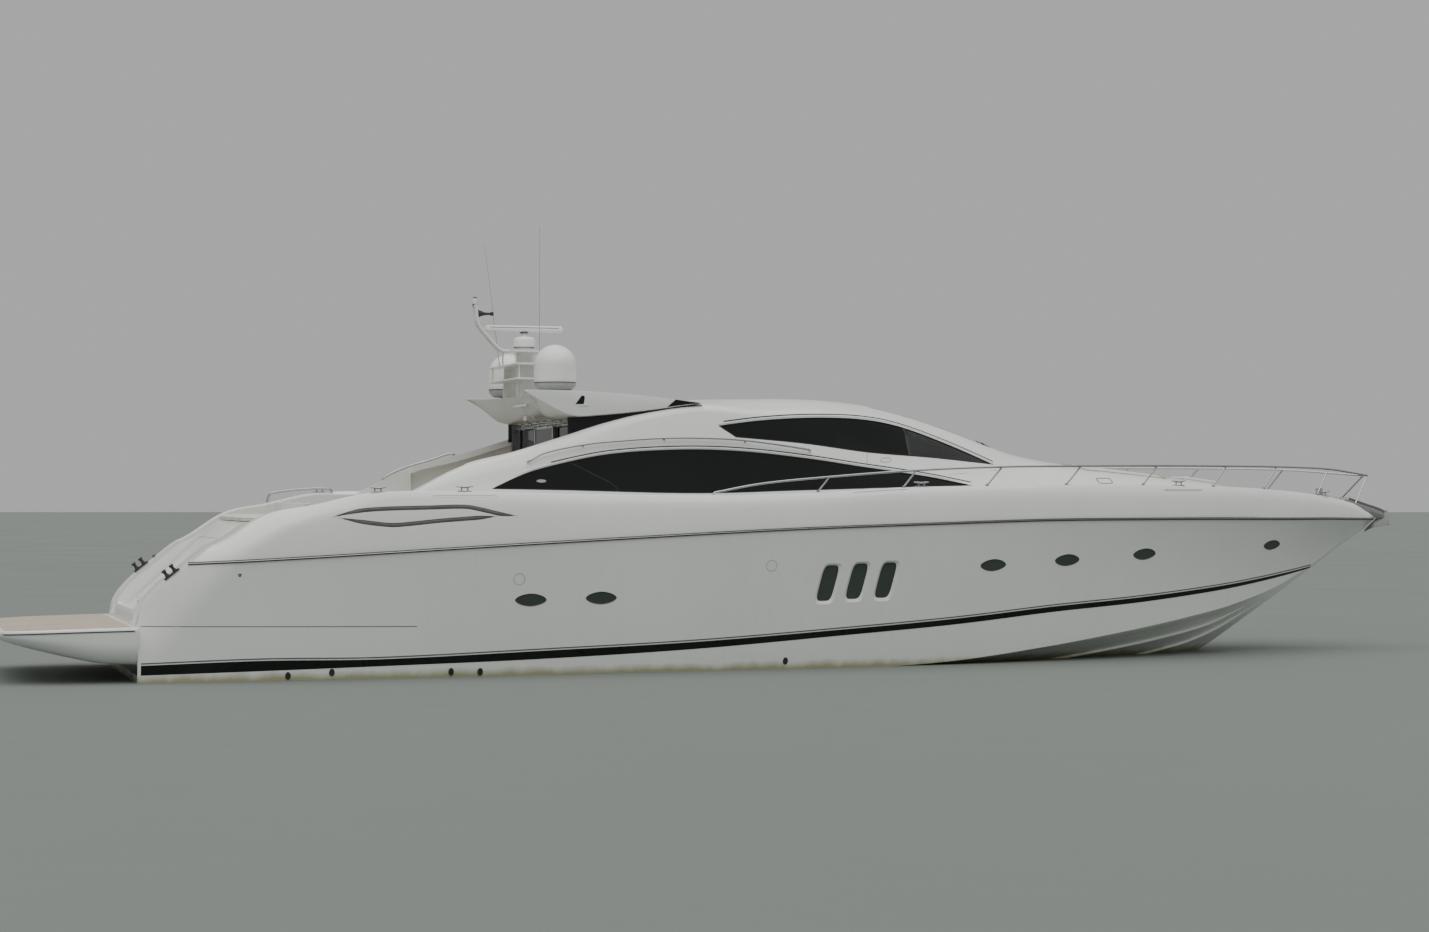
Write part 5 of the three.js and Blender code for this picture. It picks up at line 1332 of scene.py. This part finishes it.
for _, side in SIDES:
    rings = []
    for t in steps(0, 1, 0.125):
        x, z = 12.84 + 0.49 * t, 2.185 + 0.40 * t ** 0.9
        w, drop = 0.01 + 0.138 * t ** 0.7, 0.29 * t ** 1.1
        rings.append([(x, 0, z + 0.02), (x - 0.01 * t, side * w * 0.55, z + 0.012 - drop * 0.35),
                      (x - 0.04 * t, side * w, z - drop), (x - 0.055 * t, side * (w - 0.012 * t), z - drop),
                      (x - 0.03 * t, side * w * 0.5, z - 0.014 - drop * 0.35), (x - 0.015 * t, 0, z - 0.008)])
    parts.append(loft("fluke", rings))
parts.append(tube("tripping_bar", [(13.285, -0.14, 2.31), (13.33, 0, 2.40), (13.285, 0.14, 2.31)], 0.012, 10))
piece(joined("anchor_fine", parts), anchor_grey, "cast", replaces="anchor", angle=40)
links = []
for i in range(13):
    t = i / 13
    x, z = 11.98 + 0.52 * t, 2.832 - 0.03 * t
    level_link = i % 2
    ring = [(x + 0.030 * math.cos(a), 0.016 * math.sin(a) * level_link,
             z + 0.016 * math.sin(a) * (1 - level_link)) for a in turns(12)]
    links.append(tube("link", ring, 0.006, 6, closed=True))
piece(joined("anchor_chain", links), zinc, "steel")
WINDLASS_X = 11.85
base = trunk_z(WINDLASS_X) - 0.02
drum = [(0, 0), (0.092, 0), (0.094, 0.03), (0.075, 0.04), (0.072, 0.055), (0.088, 0.07), (0.088, 0.085),
        (0.062, 0.10), (0.058, 0.15), (0.076, 0.17), (0.07, 0.19), (0.03, 0.2), (0, 0.2)]
piece(lathe("windlass_drum", [(r, base + z) for r, z in drum], (WINDLASS_X, 0, 0)), steel, "steel",
      replaces="windlass")
HATCH = dict(aft=8.85, fwd=9.55, half=0.3)
hatch_tilt = math.atan2(trunk_z(HATCH["fwd"]) - trunk_z(HATCH["aft"]), HATCH["fwd"] - HATCH["aft"])
hatch_low = trunk_z(HATCH["aft"]) + 0.022
hatch_long = HATCH["fwd"] - HATCH["aft"]


def deck_plate(name, half, aft, fwd, low, high, hollow, corner, edge):
    """A level plate with rounded corners, solid or with a hollow that leaves a frame of that width."""
    def outline(cut):
        x0, x1, y = aft + cut, fwd - cut, half - cut
        return both_halves(rounded([(x0, 0), (x0, y), (x1, y), (x1, 0)], [corner, corner], 5))
    obj = prism(name, outline(0), low, high, "z", edge, 2)
    return boolean(obj, prism("hollow", outline(hollow), low - 0.1, high + 0.1, "z")) if hollow else obj


def hatch_part(name, shrink, low, high, hollow=0.0):
    half, fwd = HATCH["half"] - shrink, hatch_long - shrink
    obj = deck_plate(name, half, shrink, fwd, low, high, hollow, 0.07, 0.004)
    tilt = Matrix.Rotation(-hatch_tilt, 4, "Y")
    obj.data.transform(Matrix.Translation((HATCH["aft"], 0, hatch_low)) @ tilt)
    return obj


piece(hatch_part("hatch_glass", 0.03, 0.012, 0.036), glass_dark, "glass", body="foredeck_hatch",
      replaces="foredeck_hatch")
piece(hatch_part("hatch_frame", 0, 0.001, 0.04, 0.036), gelcoat, "gelcoat", body="foredeck_hatch")
piece(hatch_part("hatch_coaming", 0.012, -0.07, -0.002, 0.05), gelcoat, "gelcoat")
hinge_z = trunk_z(HATCH["fwd"]) + 0.045
hinges = [tube("hinge", [(9.552, y - 0.035, hinge_z), (9.552, y + 0.035, hinge_z)], 0.010, 12)
          for y in (-0.2, 0.2)]
piece(joined("hatch_hinges", hinges), steel, "steel")

# Sunroof
low = SUNROOF["floor"] + SUNROOF["lift"]


def sunroof_part(name, shrink, bottom, hollow=0.0):
    return deck_plate(name, SUNROOF["half"] - shrink, SUNROOF["aft"] + shrink, SUNROOF["fwd"] - shrink,
                      bottom, low + SUNROOF["thick"], hollow, 0.09, 0.003)


piece(sunroof_part("sunroof_glass", 0.02, low + 0.004), glass_dark, "glass", body="sunroof",
      replaces="sunroof")
piece(sunroof_part("sunroof_edge", 0, low, 0.022), rubber, "dark", body="sunroof")
track_aft, track_z = SUNROOF["aft"] - SUNROOF["travel"], SUNROOF["floor"]
tracks = [block("track", (track_aft, side * 0.6 - 0.012, track_z - 0.004),
                (SUNROOF["fwd"], side * 0.6 + 0.012, track_z + 0.004), 0.002) for _, side in SIDES]
piece(joined("sunroof_tracks", tracks), steel, "steel")

# Upholstery
def baked(obj):
    """Replaces obj's mesh with what its modifiers make of it."""
    bpy.context.view_layer.update()
    mesh = bpy.data.meshes.new_from_object(obj.evaluated_get(bpy.context.evaluated_depsgraph_get()))
    obj.modifiers.clear()
    obj.data = mesh
    return obj


def swell(pads, cap, voxel):
    """Fills closed pads by a cloth simulation under pressure.

    No point moves further than cap, or below the pad's base.
    """
    for pad in pads:
        remesh = pad.modifiers.new("remesh", "REMESH")
        remesh.mode = "VOXEL"
        remesh.voxel_size = voxel
        baked(pad)
        starts = [v.co.copy() for v in pad.data.vertices]
        pad["base"] = min(v.z for v in starts)
    for pad in pads:
        cloth = pad.modifiers.new("cloth", "CLOTH").settings
        cloth.quality = 4
        cloth.use_pressure = True
        cloth.uniform_pressure_force = 4
        cloth.effector_weights.gravity = 0
    for step in range(1, 21):
        bpy.context.scene.frame_set(step)
    for pad in pads:
        starts = [v.co.copy() for v in pad.data.vertices]
        baked(pad)
        for start, vert in zip(starts, pad.data.vertices):
            move = vert.co - start
            vert.co = start + move * min(1, cap / max(move.length, 1e-9))
            vert.co.z = max(vert.co.z, pad["base"])
    bpy.context.scene.frame_set(1)
    for pad in pads:
        smooth_by = pad.modifiers.new("smooth", "SMOOTH")
        smooth_by.factor = 0.5
        smooth_by.iterations = 3
        pad.modifiers.new("fine", "SUBSURF").render_levels = 1
        pad.modifiers["fine"].levels = 1
        baked(pad)
        del pad["base"]


def sewn(pad, axis, places, face, depth=0.014, width=0.015):
    """Presses straight channels into the side of a pad that looks along face."""
    face = Vector(face)
    normals = [v.normal.copy() for v in pad.data.vertices]
    for vert, normal in zip(pad.data.vertices, normals):
        press = sum(math.exp(-((vert.co[axis] - place) / width) ** 2) for place in places)
        vert.co -= normal * depth * min(press, 1) * max(normal.dot(face), 0)


def welt(name, pad, point, normal, radius=0.005):
    """A piped seam along the line where a plane crosses a pad."""
    bm = bmesh.new()
    bm.from_mesh(pad.data)
    cut = bmesh.ops.bisect_plane(bm, geom=bm.verts[:] + bm.edges[:] + bm.faces[:], plane_co=point,
                                 plane_no=normal)
    edges = {e for e in cut["geom_cut"] if isinstance(e, bmesh.types.BMEdge)}
    edge = min(edges, key=lambda e: tuple(e.verts[0].co))
    vert = edge.verts[0]
    line = []
    while edge:
        edges.discard(edge)
        line.append(tuple(vert.co))
        vert = edge.other_vert(vert)
        edge = next((e for e in vert.link_edges if e in edges), None)
    bm.free()
    return tube(name, line[::3], radius, 8, closed=True)


def ends(pad, axis):
    """The lowest and highest place of a pad along one axis."""
    values = [v.co[axis] for v in pad.data.vertices]
    return min(values), max(values)


def between(pad, axis, count):
    """count places that part a pad evenly."""
    low, high = ends(pad, axis)
    return axis, [low + (high - low) * (i + 1) / (count + 1) for i in range(count)]


def level(share):
    """A level plane at a share of a pad's height."""
    def plane(pad):
        low, high = ends(pad, 2)
        return (0, 0, low + (high - low) * share), (0, 0, 1)
    return plane


def upright(axis, share):
    """An upright plane at a share of a pad's depth along one axis."""
    def plane(pad):
        low, high = ends(pad, axis)
        return tuple(low + (high - low) * share if i == axis else 0 for i in range(3)), \
            tuple(float(i == axis) for i in range(3))
    return plane


def row(name, count, axis, low, high, gap, round_by):
    """count blocks side by side along one axis of a box."""
    step = (high[axis] - low[axis]) / count
    made = []
    for i in range(count):
        a, b = list(low), list(high)
        a[axis] = low[axis] + i * step + gap
        b[axis] = low[axis] + (i + 1) * step - gap
        made.append(block(f"{name}_{i + 1}", a, b, round_by, 3))
    return made


def upholster(name, node, pads, axis, count, face, seam, cap=0.020, voxel=0.026):
    """Swells pads, sews count channels into each across an axis, and pipes their seams."""
    swell(pads, cap, voxel)
    for pad in pads:
        sewn(pad, *between(pad, axis, count), face)
    welts = seam if isinstance(seam, list) else [welt("welt", pad, *seam(pad)) for pad in pads]
    for i, pad in enumerate(pads):
        piece(pad, vinyl, "cushion", replaces=node if i == 0 else (), angle=60, name=f"{name}_{i + 1}")
    piece(joined(f"{name}_piping", welts), piping, "cushion")


# Foredeck sunpad: two pads that follow the trunk, each with four channels
pads, edges = [], []
for label, side in SIDES:
    rings = []
    for x in steps(PAD["aft"] + 0.02, PAD["fwd"] - 0.02, 0.1):
        share = (x - PAD["aft"]) / (PAD["fwd"] - PAD["aft"])
        half = PAD["half_aft"] + (PAD["half_fwd"] - PAD["half_aft"]) * share - 0.02
        ys = [side * (0.02 + (half - 0.02) * k / 8) for k in range(9)]
        rings.append([(x, y, top_z(x, y) - 0.052) for y in ys]
                     + [(x, y, top_z(x, y) + 0.008) for y in ys[::-1]])
    pads.append(loft(f"sunpad_{label}", rings))
    edge = [ring[9] for ring in rings] + rings[-1][10:18]
    edge += [ring[17] for ring in rings[-2::-1]] + rings[0][16:9:-1]
    edges.append(tube("edge", [(x, y, z + 0.006) for x, y, z in edge], 0.007, 8, closed=True))
upholster("foredeck_pad", "foredeck_sunpad", pads, 0, 4, (0, 0, 1), edges)
# Aft sunpad
pads = row("pad", 3, 1, (-8.545, -1.35, 2.455), (-7.695, 1.35, 2.535), 0.012, 0.02)
upholster("aft_pad", "aft_sunpad", pads, 0, 3, (0, 0, 1), level(0.5))
# Settee in the cockpit
shell = [block("plinth", (-7.575, -1.37, FLOOR), (-7.03, 1.37, 2.245), 0.02, 3),
         block("back", (-7.588, -1.375, FLOOR), (-7.555, 1.375, 2.74), 0.012, 2),
         block("lip", (-7.06, -1.372, 2.20), (-7.0, 1.372, 2.262), 0.014, 3)]
piece(joined("settee_base", shell), gelcoat, "gelcoat")
pads = row("seat", 3, 1, (-7.40, -1.36, 2.252), (-6.985, 1.36, 2.39), 0.012, 0.03)
upholster("settee_seat", "cockpit_settee", pads, 1, 2, (0, 0, 1), level(0.55))
pads = row("rest", 3, 1, (-7.535, -1.36, 2.41), (-7.43, 1.36, 2.765), 0.012, 0.03)
upholster("settee_back", (), pads, 1, 3, (1, 0, 0), upright(0, 0.45))
# Sofa in the saloon
shell = [block("plinth", (-2.49, 1.22, FLOOR), (0.69, 1.955, 2.05), 0.01, 2),
         block("box", (-2.495, 1.19, 2.05), (0.695, 1.96, 2.24), 0.016, 2),
         block("arm", (0.60, 1.19, 2.24), (0.695, 1.96, 2.56), 0.03, 3)]
piece(joined("sofa_base", shell), cabinet_wood, "teak")
pads = row("seat", 4, 0, (-2.49, 1.20, 2.245), (0.59, 1.74, 2.385), 0.010, 0.03)
upholster("sofa_seat", "saloon_sofa", pads, 0, 1, (0, 0, 1), level(0.55))
pads = row("rest", 4, 0, (-2.49, 1.80, 2.38), (0.59, 1.925, 2.765), 0.010, 0.03)
upholster("sofa_back", (), pads, 0, 1, (0, -1, 0), upright(1, 0.5))
# Helm seat on its pedestal
stand = [lathe("foot", [(0, 0), (0.20, 0), (0.20, 0.012), (0.10, 0.03), (0.075, 0.06), (0.07, 0.36),
                        (0.09, 0.40), (0.16, 0.42), (0.16, 0.44), (0, 0.44)], (1.5, -0.8, FLOOR), sides=32),
         block("tray", (1.27, -1.22, 2.385), (1.76, -0.38, 2.43), 0.015, 3)]
piece(joined("helm_seat_stand", stand), steel, "steel")
shell = rounded([(1.30, 2.43), (1.17, 2.50), (1.155, 3.12), (1.185, 3.14), (1.20, 3.10), (1.225, 2.56),
                 (1.30, 2.50), (1.50, 2.47), (1.50, 2.43)], [0.02] * 7, 3)
piece(prism("helm_seat_shell", shell, -1.235, -0.365, "y", 0.012, 2), gelcoat, "gelcoat")
pads = row("seat", 2, 1, (1.30, -1.235, 2.452), (1.78, -0.365, 2.545), 0.008, 0.03)
upholster("helm_cushion", "helm_seat", pads, 0, 2, (0, 0, 1), level(0.5), cap=0.016, voxel=0.02)
pads = row("rest", 2, 1, (1.215, -1.235, 2.60), (1.27, -0.365, 3.13), 0.008, 0.02)
upholster("helm_rest", (), pads, 2, 3, (1, 0, 0), upright(0, 0.5), cap=0.014, voxel=0.018)

# Table, bar, cabinet
plan = round_box(-5.65, -6.45, -0.52, 0.52, 0.12, 6)
piece(prism("table_top", plan, 2.634, 2.670, "z", 0.006, 2), teak, "teak", replaces="cockpit_table")
piece(tube("table_edge", [(x, y, 2.652) for x, y in plan], 0.009, 8, closed=True), cabinet_wood, "teak")
leg = [(0, 0), (0.19, 0), (0.19, 0.010), (0.09, 0.035), (0.062, 0.07), (0.055, 0.30), (0.05, 0.32),
       (0.048, 0.62), (0.10, 0.66), (0.15, 0.682), (0, 0.682)]
piece(lathe("table_leg", leg, (-6.05, 0, FLOOR), sides=36), steel, "steel")


def cupboard(name, node, low, high, face_y, doors, body_paint, body_slot, top_paint, top_slot):
    """A run of cupboards along X with a worktop, doors and grips on the side towards the centreline."""
    (aft, back, foot), (fwd, _, top) = low, high
    step = (fwd - aft) / doors
    piece(block(name, (aft + 0.01, back, foot + 0.07), (fwd - 0.01, face_y - 0.012, top - 0.045), 0.01, 2),
          body_paint, body_slot, replaces=node)
    kick = block(f"{name}_kick", (aft + 0.02, back, foot), (fwd - 0.02, face_y - 0.06, foot + 0.075),
                 0.004, 2)
    piece(kick, plastic, "dark")
    piece(block(f"{name}_top", (aft, back, top - 0.045), high, 0.014, 3), top_paint, top_slot)
    leaves, grips = [], []
    for i in range(doors):
        a, b = aft + i * step + 0.014, aft + (i + 1) * step - 0.010
        leaves.append(block("leaf", (a, face_y - 0.016, foot + 0.09), (b, face_y + 0.002, top - 0.065),
                            0.006, 2))
        grip = ((0.0, 0.13), (0.022, 0.13), (0.022, 0.27), (0.0, 0.27))
        grips.append(tube("grip", [(b - 0.04, face_y + out, top - down) for out, down in grip], 0.006, 8))
    piece(joined(f"{name}_doors", leaves), body_paint, body_slot)
    piece(joined(f"{name}_grips", grips), steel, "steel")


cupboard("bar", "cockpit_bar", (-4.70, -1.965, FLOOR), (-3.70, -1.38, 2.84), -1.405, 3, gelcoat, "gelcoat",
         seam_pale, "gelcoat")
cupboard("sideboard", "saloon_cabinet", (-2.50, -1.965, FLOOR), (0.30, -1.40, 2.80), -1.425, 4, cabinet_wood,
         "teak", cabinet_wood, "teak")
piece(block("bar_sink", (-4.62, -1.80, 2.836), (-4.30, -1.52, 2.8405), 0.002, 2), steel, "steel")

# Helm console: screens, switches, levers, wheel
profile = rounded([(2.60, FLOOR), (2.47, FLOOR), (2.45, 2.70), (2.43, 2.86), (2.80, 3.095), (3.08, 3.08),
                   (3.08, FLOOR), (2.60, FLOOR)],
                  [0.01, 0.03, 0.03, 0.06, 0.03, 0.01], 4)[:-1]
piece(prism("console", profile, -1.45, -0.15, "y", 0.02, 3), plastic, "dark", replaces="helm_console")


def on_dash(u, v, lift):
    """A point on the sloping face: u up the slope, v across, lift off it."""
    up = Vector((0.37, 0, 0.235)).normalized()
    out = Vector((-up.z, 0, up.x))
    return tuple(Vector((2.45, v, 2.872)) + up * u + out * lift)


def dash_plate(name, u0, u1, v0, v1, low, high, corner):
    plan = round_box(u0, u1, v0, v1, corner)
    return loft(name, [[on_dash(u, v, lift) for u, v in plan] for lift in (low, high)])


screens, bezels, keys = [], [], []
for v in (-1.36, -0.98, -0.60):
    bezels.append(dash_plate("bezel", 0.10, 0.38, v, v + 0.34, -0.004, 0.008, 0.02))
    screens.append(dash_plate("screen", 0.118, 0.362, v + 0.02, v + 0.32, 0.004, 0.010, 0.008))
for i in range(12):
    keys.append(dash_plate("key", 0.03, 0.06, -1.36 + i * 0.085, -1.31 + i * 0.085, -0.002, 0.010, 0.006))
piece(joined("console_bezels", bezels), seam_dark, "dark")
piece(joined("console_screens", screens), screen_black, "glass")
piece(joined("console_switches", keys), rubber, "dark")
levers = [block("lever_box", (2.50, -0.36, 2.90), (2.62, -0.22, 3.02), 0.015, 2)]
levers += [tube("lever", [(2.55, y, 3.0), (2.50, y, 3.06), (2.46, y, 3.11)], 0.009, 8)
           for y in (-0.32, -0.26)]
piece(joined("throttle", levers), steel, "steel")
WHEEL_PLACE = Matrix.Translation((2.29, -0.8, 2.93)) @ Matrix.Rotation(math.pi / 2 + 0.55, 4, "Y")
circle = [(0.198 * math.cos(a), 0.198 * math.sin(a), 0) for a in turns(48)]
rim = tube("wheel_rim", circle, 0.017, 12, closed=True)
rim.data.transform(WHEEL_PLACE)
piece(rim, rubber, "dark", body="helm_wheel", replaces="helm_wheel")
hub = [(0, -0.024), (0.044, -0.024), (0.045, -0.006), (0.040, 0.016), (0.02, 0.024), (0, 0.025)]
spokes = [lathe("hub", hub, sides=28)]
for i in range(3):
    a = math.pi / 2 + i * 2 * math.pi / 3
    spokes.append(tube("spoke", [(r * math.cos(a), r * math.sin(a), 0) for r in (0.03, 0.08, 0.14, 0.19)],
                       [0.014, 0.011, 0.010, 0.012], 10, flat=0.5))
spokes = joined("wheel_spokes", spokes)
spokes.data.transform(WHEEL_PLACE)
piece(spokes, steel, "steel", body="helm_wheel")

# Saloon bulkhead: seals round its panes, the tracks, the sliding door
seals = []
for _, side in SIDES:
    path = round_box(*sorted((side * 0.69, side * 1.79)), 2.08, 4.01, 0.03)
    seals.append(tube("seal", [(-3.196, y, z) for y, z in path], 0.011, 8, closed=True))
piece(joined("bulkhead_seals", seals), rubber, "dark")
tracks = [block("track", (-3.262, -1.22, 4.052), (-3.20, 1.22, 4.075), 0.004, 2),
          block("sill", (-3.262, -1.22, 1.951), (-3.20, 1.22, 1.966), 0.004, 2)]
piece(joined("door_tracks", tracks), steel, "steel")
LEAF_AFT, LEAF_FWD = -3.243, -3.209
leaf = [block("stile", (LEAF_AFT, y - 0.026, 1.972), (LEAF_FWD, y + 0.026, 4.046), 0.006, 2)
        for y in (-0.582, 0.582)]
leaf += [block("rail", (LEAF_AFT, -0.58, z - 0.03), (LEAF_FWD, 0.58, z + 0.03), 0.006, 2)
         for z in (2.004, 4.014)]
piece(joined("door_frame", leaf), steel, "steel", body="saloon_door", replaces="saloon_door")
piece(block("door_pane", (-3.231, -0.566, 2.02), (-3.221, 0.566, 4.0), 0.002, 1), glass_dark, "glass",
      body="saloon_door")
handle = smooth([(x, -0.52, z) for x, z in ((LEAF_AFT, 2.86), (-3.275, 2.88), (-3.28, 3.0), (-3.275, 3.12),
                                            (LEAF_AFT, 3.14))], 4)
piece(tube("door_handle", handle, 0.010, 10), steel, "steel", body="saloon_door")

# Engines
for label, side in SIDES:
    y = side * 1.0
    parts = [block("crankcase", (-6.3, y - 0.27, 0.10), (-4.95, y + 0.27, 0.62), 0.04, 3),
             block("sump", (-6.2, y - 0.20, -0.06), (-5.05, y + 0.20, 0.14), 0.06, 3),
             block("cover", (-4.95, y - 0.24, 0.16), (-4.82, y + 0.24, 0.80), 0.04, 3)]
    for s in (-1, 1):
        head = block("head", (-6.25, y + s * 0.30 - 0.13, 0.62), (-5.0, y + s * 0.30 + 0.13, 0.98), 0.04, 3)
        parts.append(turned(head, -s * 0.35, "X", (0, y + s * 0.30, 0.8)))
    parts += [block("foot", (x - 0.08, y + s * 0.30 - 0.12, -0.10), (x + 0.08, y + s * 0.30 + 0.12, 0.16),
                    0.02, 2) for x in (-6.0, -5.2) for s in (-1, 1)]
    piece(joined(f"engine_block_{label}", parts), engine_paint, "cast", replaces=f"engine_{label}")
    gearbox = [(0, 0), (0.26, 0), (0.27, 0.05), (0.24, 0.30), (0.16, 0.48), (0.10, 0.58), (0, 0.58)]
    turbo = [(0, -0.12), (0.10, -0.12), (0.13, -0.05), (0.13, 0.05), (0.10, 0.12), (0, 0.12)]
    intake = smooth([(-6.2, y, 1.10), (-5.9, y, 1.17), (-5.3, y, 1.17), (-5.0, y, 1.10)], 5)
    parts = [lathe("gearbox", gearbox, (-6.3, y, 0.30), (-1, 0, -0.05)),
             lathe("turbo", turbo, (-6.42, y, 0.95), (0, 1, 0), 28), tube("intake", intake, 0.07, 14)]
    parts += [tube("runner", [(x, y, 1.12), (x, y + s * 0.12, 1.08), (x, y + s * 0.22, 1.0)], 0.03, 10)
              for x in steps(-6.1, -5.2, 0.22) for s in (-1, 1)]
    parts += [lathe("pulley", [(0, 0), (r, 0), (r, 0.02), (r - 0.012, 0.03), (r, 0.04), (r, 0.06), (0, 0.06)],
                    (-4.83, y + dy, z), (1, 0, 0), 24)
              for r, dy, z in ((0.13, 0, 0.32), (0.08, 0.14, 0.62), (0.07, -0.14, 0.60))]
    piece(joined(f"engine_fittings_{label}", parts), cast, "cast")

# Shafts, propellers, struts, rudders, trim tabs
SHAFT_Y = 1.05
RUDDER_X = -9.45
PROP = dict(x=-8.75, z=-0.96, radius=0.428, rise=0.18)
SHAFT_DIRECTION = Vector((1, 0, PROP["rise"])).normalized()


def shaft_at(x, side):
    """A point of the sloping shaft line."""
    return (x, side * SHAFT_Y, PROP["z"] + (x - PROP["x"]) * PROP["rise"])


def blade(turn, hand):
    """A skewed propeller blade round the X axis."""
    rings = []
    for r in (0.05, 0.10, 0.16, 0.22, 0.28, 0.34, 0.39, 0.418, PROP["radius"]):
        share = r / PROP["radius"]
        chord = 0.30 * math.sqrt(max(1 - ((share - 0.55) / 0.56) ** 2, 0.012))
        pitch = min(math.atan2(0.95, 2 * math.pi * r), 0.95)
        thick = 0.022 * (1 - share) + 0.004
        ring = []
        for a in turns(16):
            along, off = chord / 2 * math.cos(a), thick / 2 * math.sin(a)
            angle = turn + hand * (0.30 * share ** 2 + along * math.cos(pitch) / r if r > 0.09 else 0)
            x = along * math.sin(pitch) + off * math.cos(pitch)
            ring.append((max(min(x, 0.12), -0.12),
                         r * math.cos(angle) - hand * off * math.sin(angle) * math.sin(pitch),
                         r * math.sin(angle) + hand * off * math.cos(angle) * math.sin(pitch)))
        rings.append(ring)
    return loft("blade", rings)


for label, side in SIDES:
    parts = [blade(2 * math.pi * i / 5, side) for i in range(5)]
    parts.append(lathe("hub", [(0, -0.145), (0.03, -0.135), (0.055, -0.10), (0.072, -0.03), (0.075, 0.04),
                               (0.068, 0.09), (0.05, 0.10), (0, 0.10)], axis=(1, 0, 0), sides=28))
    screw = joined(f"screw_{label}", parts)
    tilt = Matrix.Rotation(-math.atan(PROP["rise"]), 4, "Y")
    screw.data.transform(Matrix.Translation(shaft_at(PROP["x"], side)) @ tilt)
    piece(screw, bronze, "bronze", body=f"propeller_{label}", replaces=f"propeller_{label}")
    piece(tube(f"shaft_{label}", [shaft_at(x, side) for x in (-8.72, -8.0, -7.2, -6.6)], 0.044, 24), steel,
          "steel", body=f"propeller_{label}")
    a, b, middle = shaft_at(-8.48, side), shaft_at(-8.20, side), shaft_at(-8.34, side)
    long = (Vector(b) - Vector(a)).length
    barrel = [(0.050, 0.006), (0.056, 0), (0.072, 0.01), (0.078, 0.06), (0.078, long - 0.06),
              (0.070, long - 0.01), (0.056, long), (0.050, long - 0.006), (0.050, 0.006)]
    parts = [lathe("barrel", barrel, a, tuple(SHAFT_DIRECTION), 32)]
    parts += [tube("leg", [(middle[0], middle[1] + s * 0.048, middle[2] + 0.058),
                           (middle[0] + 0.06, middle[1] + s * 0.34, -0.30)],
                   0.05, 16, flat=0.34) for s in (-1, 1)]
    piece(joined(f"shaft_strut_{label}", parts), bronze, "bronze")
    log = [shaft_at(x, side) for x in (-6.575, -6.45, -6.1, -5.6)]
    piece(tube(f"shaft_log_{label}", log, [0.062, 0.078, 0.086, 0.09], 24), bronze, "bronze")
    rings = []
    for z, fore, aft, thick in ((-1.286, 0.16, -0.20, 0.018), (-1.27, 0.185, -0.235, 0.026),
                                (-0.9, 0.22, -0.29, 0.05), (-0.56, 0.24, -0.32, 0.06),
                                (-0.543, 0.232, -0.312, 0.05)):
        outline = smooth([(fore, 0), (fore - 0.03, 0.30), (fore - 0.12, 0.5), (0.0, 0.44), (-0.15, 0.24),
                          (aft, 0.09)], 4)
        rings.append([(RUDDER_X + u, side * SHAFT_Y + v * thick, z) for u, v in outline]
                     + [(RUDDER_X + u, side * SHAFT_Y - v * thick, z) for u, v in outline[:0:-1]])
    stock = [(0, 0), (0.034, 0), (0.034, 0.115), (0, 0.115)]
    parts = [loft("foil", rings), lathe("stock", stock, (RUDDER_X, side * SHAFT_Y, -0.57), sides=24)]
    piece(joined(f"rudder_blade_{label}", parts), bronze, "bronze", body=f"rudder_{label}",
          replaces=f"rudder_{label}", angle=50)
    flange = [(0.04, -0.012), (0.08, -0.012), (0.10, 0.0), (0.10, 0.06), (0.04, 0.06), (0.04, -0.012)]
    flange = lathe(f"rudder_flange_{label}", flange, (RUDDER_X, side * SHAFT_Y, -0.462), sides=32)
    piece(flange, bronze, "bronze")
    slope = math.atan2(0.6, 2.21)
    centre = Vector((-10.275, side * 1.65, -0.7 + 1.65 * math.tan(slope) + 0.024))
    tab = [block("plate", (-0.478, -0.398, -0.006), (-0.002, 0.398, 0.006), 0.004, 2)]
    tab += [block("rib", (-0.44, v - 0.006, 0.0), (-0.03, v + 0.006, 0.035), 0.003, 1)
            for v in (-0.30, 0.0, 0.30)]
    tab += [tube("hinge", [(-0.006, -0.38, 0.008), (-0.006, 0.38, 0.008)], 0.009, 10)]
    tab = joined(f"trim_tab_plate_{label}", tab)
    tab.data.transform(Matrix.Translation(centre) @ Matrix.Rotation(side * slope, 4, "X"))
    piece(tab, steel, "steel", body=f"trim_tab_{label}", replaces=f"trim_tab_{label}")

# Solids that stay, with the scene's paint
for node, paint in (("sole", teak), ("saloon_bulkhead", steel), ("bulkhead_glass_port", glass_dark),
                    ("bulkhead_glass_stbd", glass_dark), ("quarter_glass_port", glass_dark),
                    ("quarter_glass_stbd", glass_dark)):
    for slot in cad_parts[node].material_slots:
        slot.material = paint

# Floor and light
world = bpy.data.worlds.new("studio")
bpy.context.scene.world = world
world.use_nodes = True
world.node_tree.nodes["Background"].inputs["Color"].default_value = (0.93, 0.93, 0.925, 1)
world.node_tree.nodes["Background"].inputs["Strength"].default_value = 0.50
floor = mesh_object("floor", [(-400, -90, 0), (400, -90, 0), (400, 900, 0), (-400, 900, 0)], [(0, 1, 2, 3)])
floor.data.materials.append(material("floor_paint", (0.168, 0.190, 0.172), 0.75, vary=0.02, scale=0.05))


def soft_sun(name, direction, angle, strength):
    data = bpy.data.lights.new(name, "SUN")
    data.angle = math.radians(angle)
    data.energy = strength
    light = bpy.data.objects.new(name, data)
    bpy.context.collection.objects.link(light)
    light.rotation_euler = Vector(direction).to_track_quat("-Z", "Y").to_euler()


soft_sun("overhead", (0.1, 0.2, -1), 80, 2.2)
soft_sun("side", (0.3, 1, -0.9), 50, 0.35)
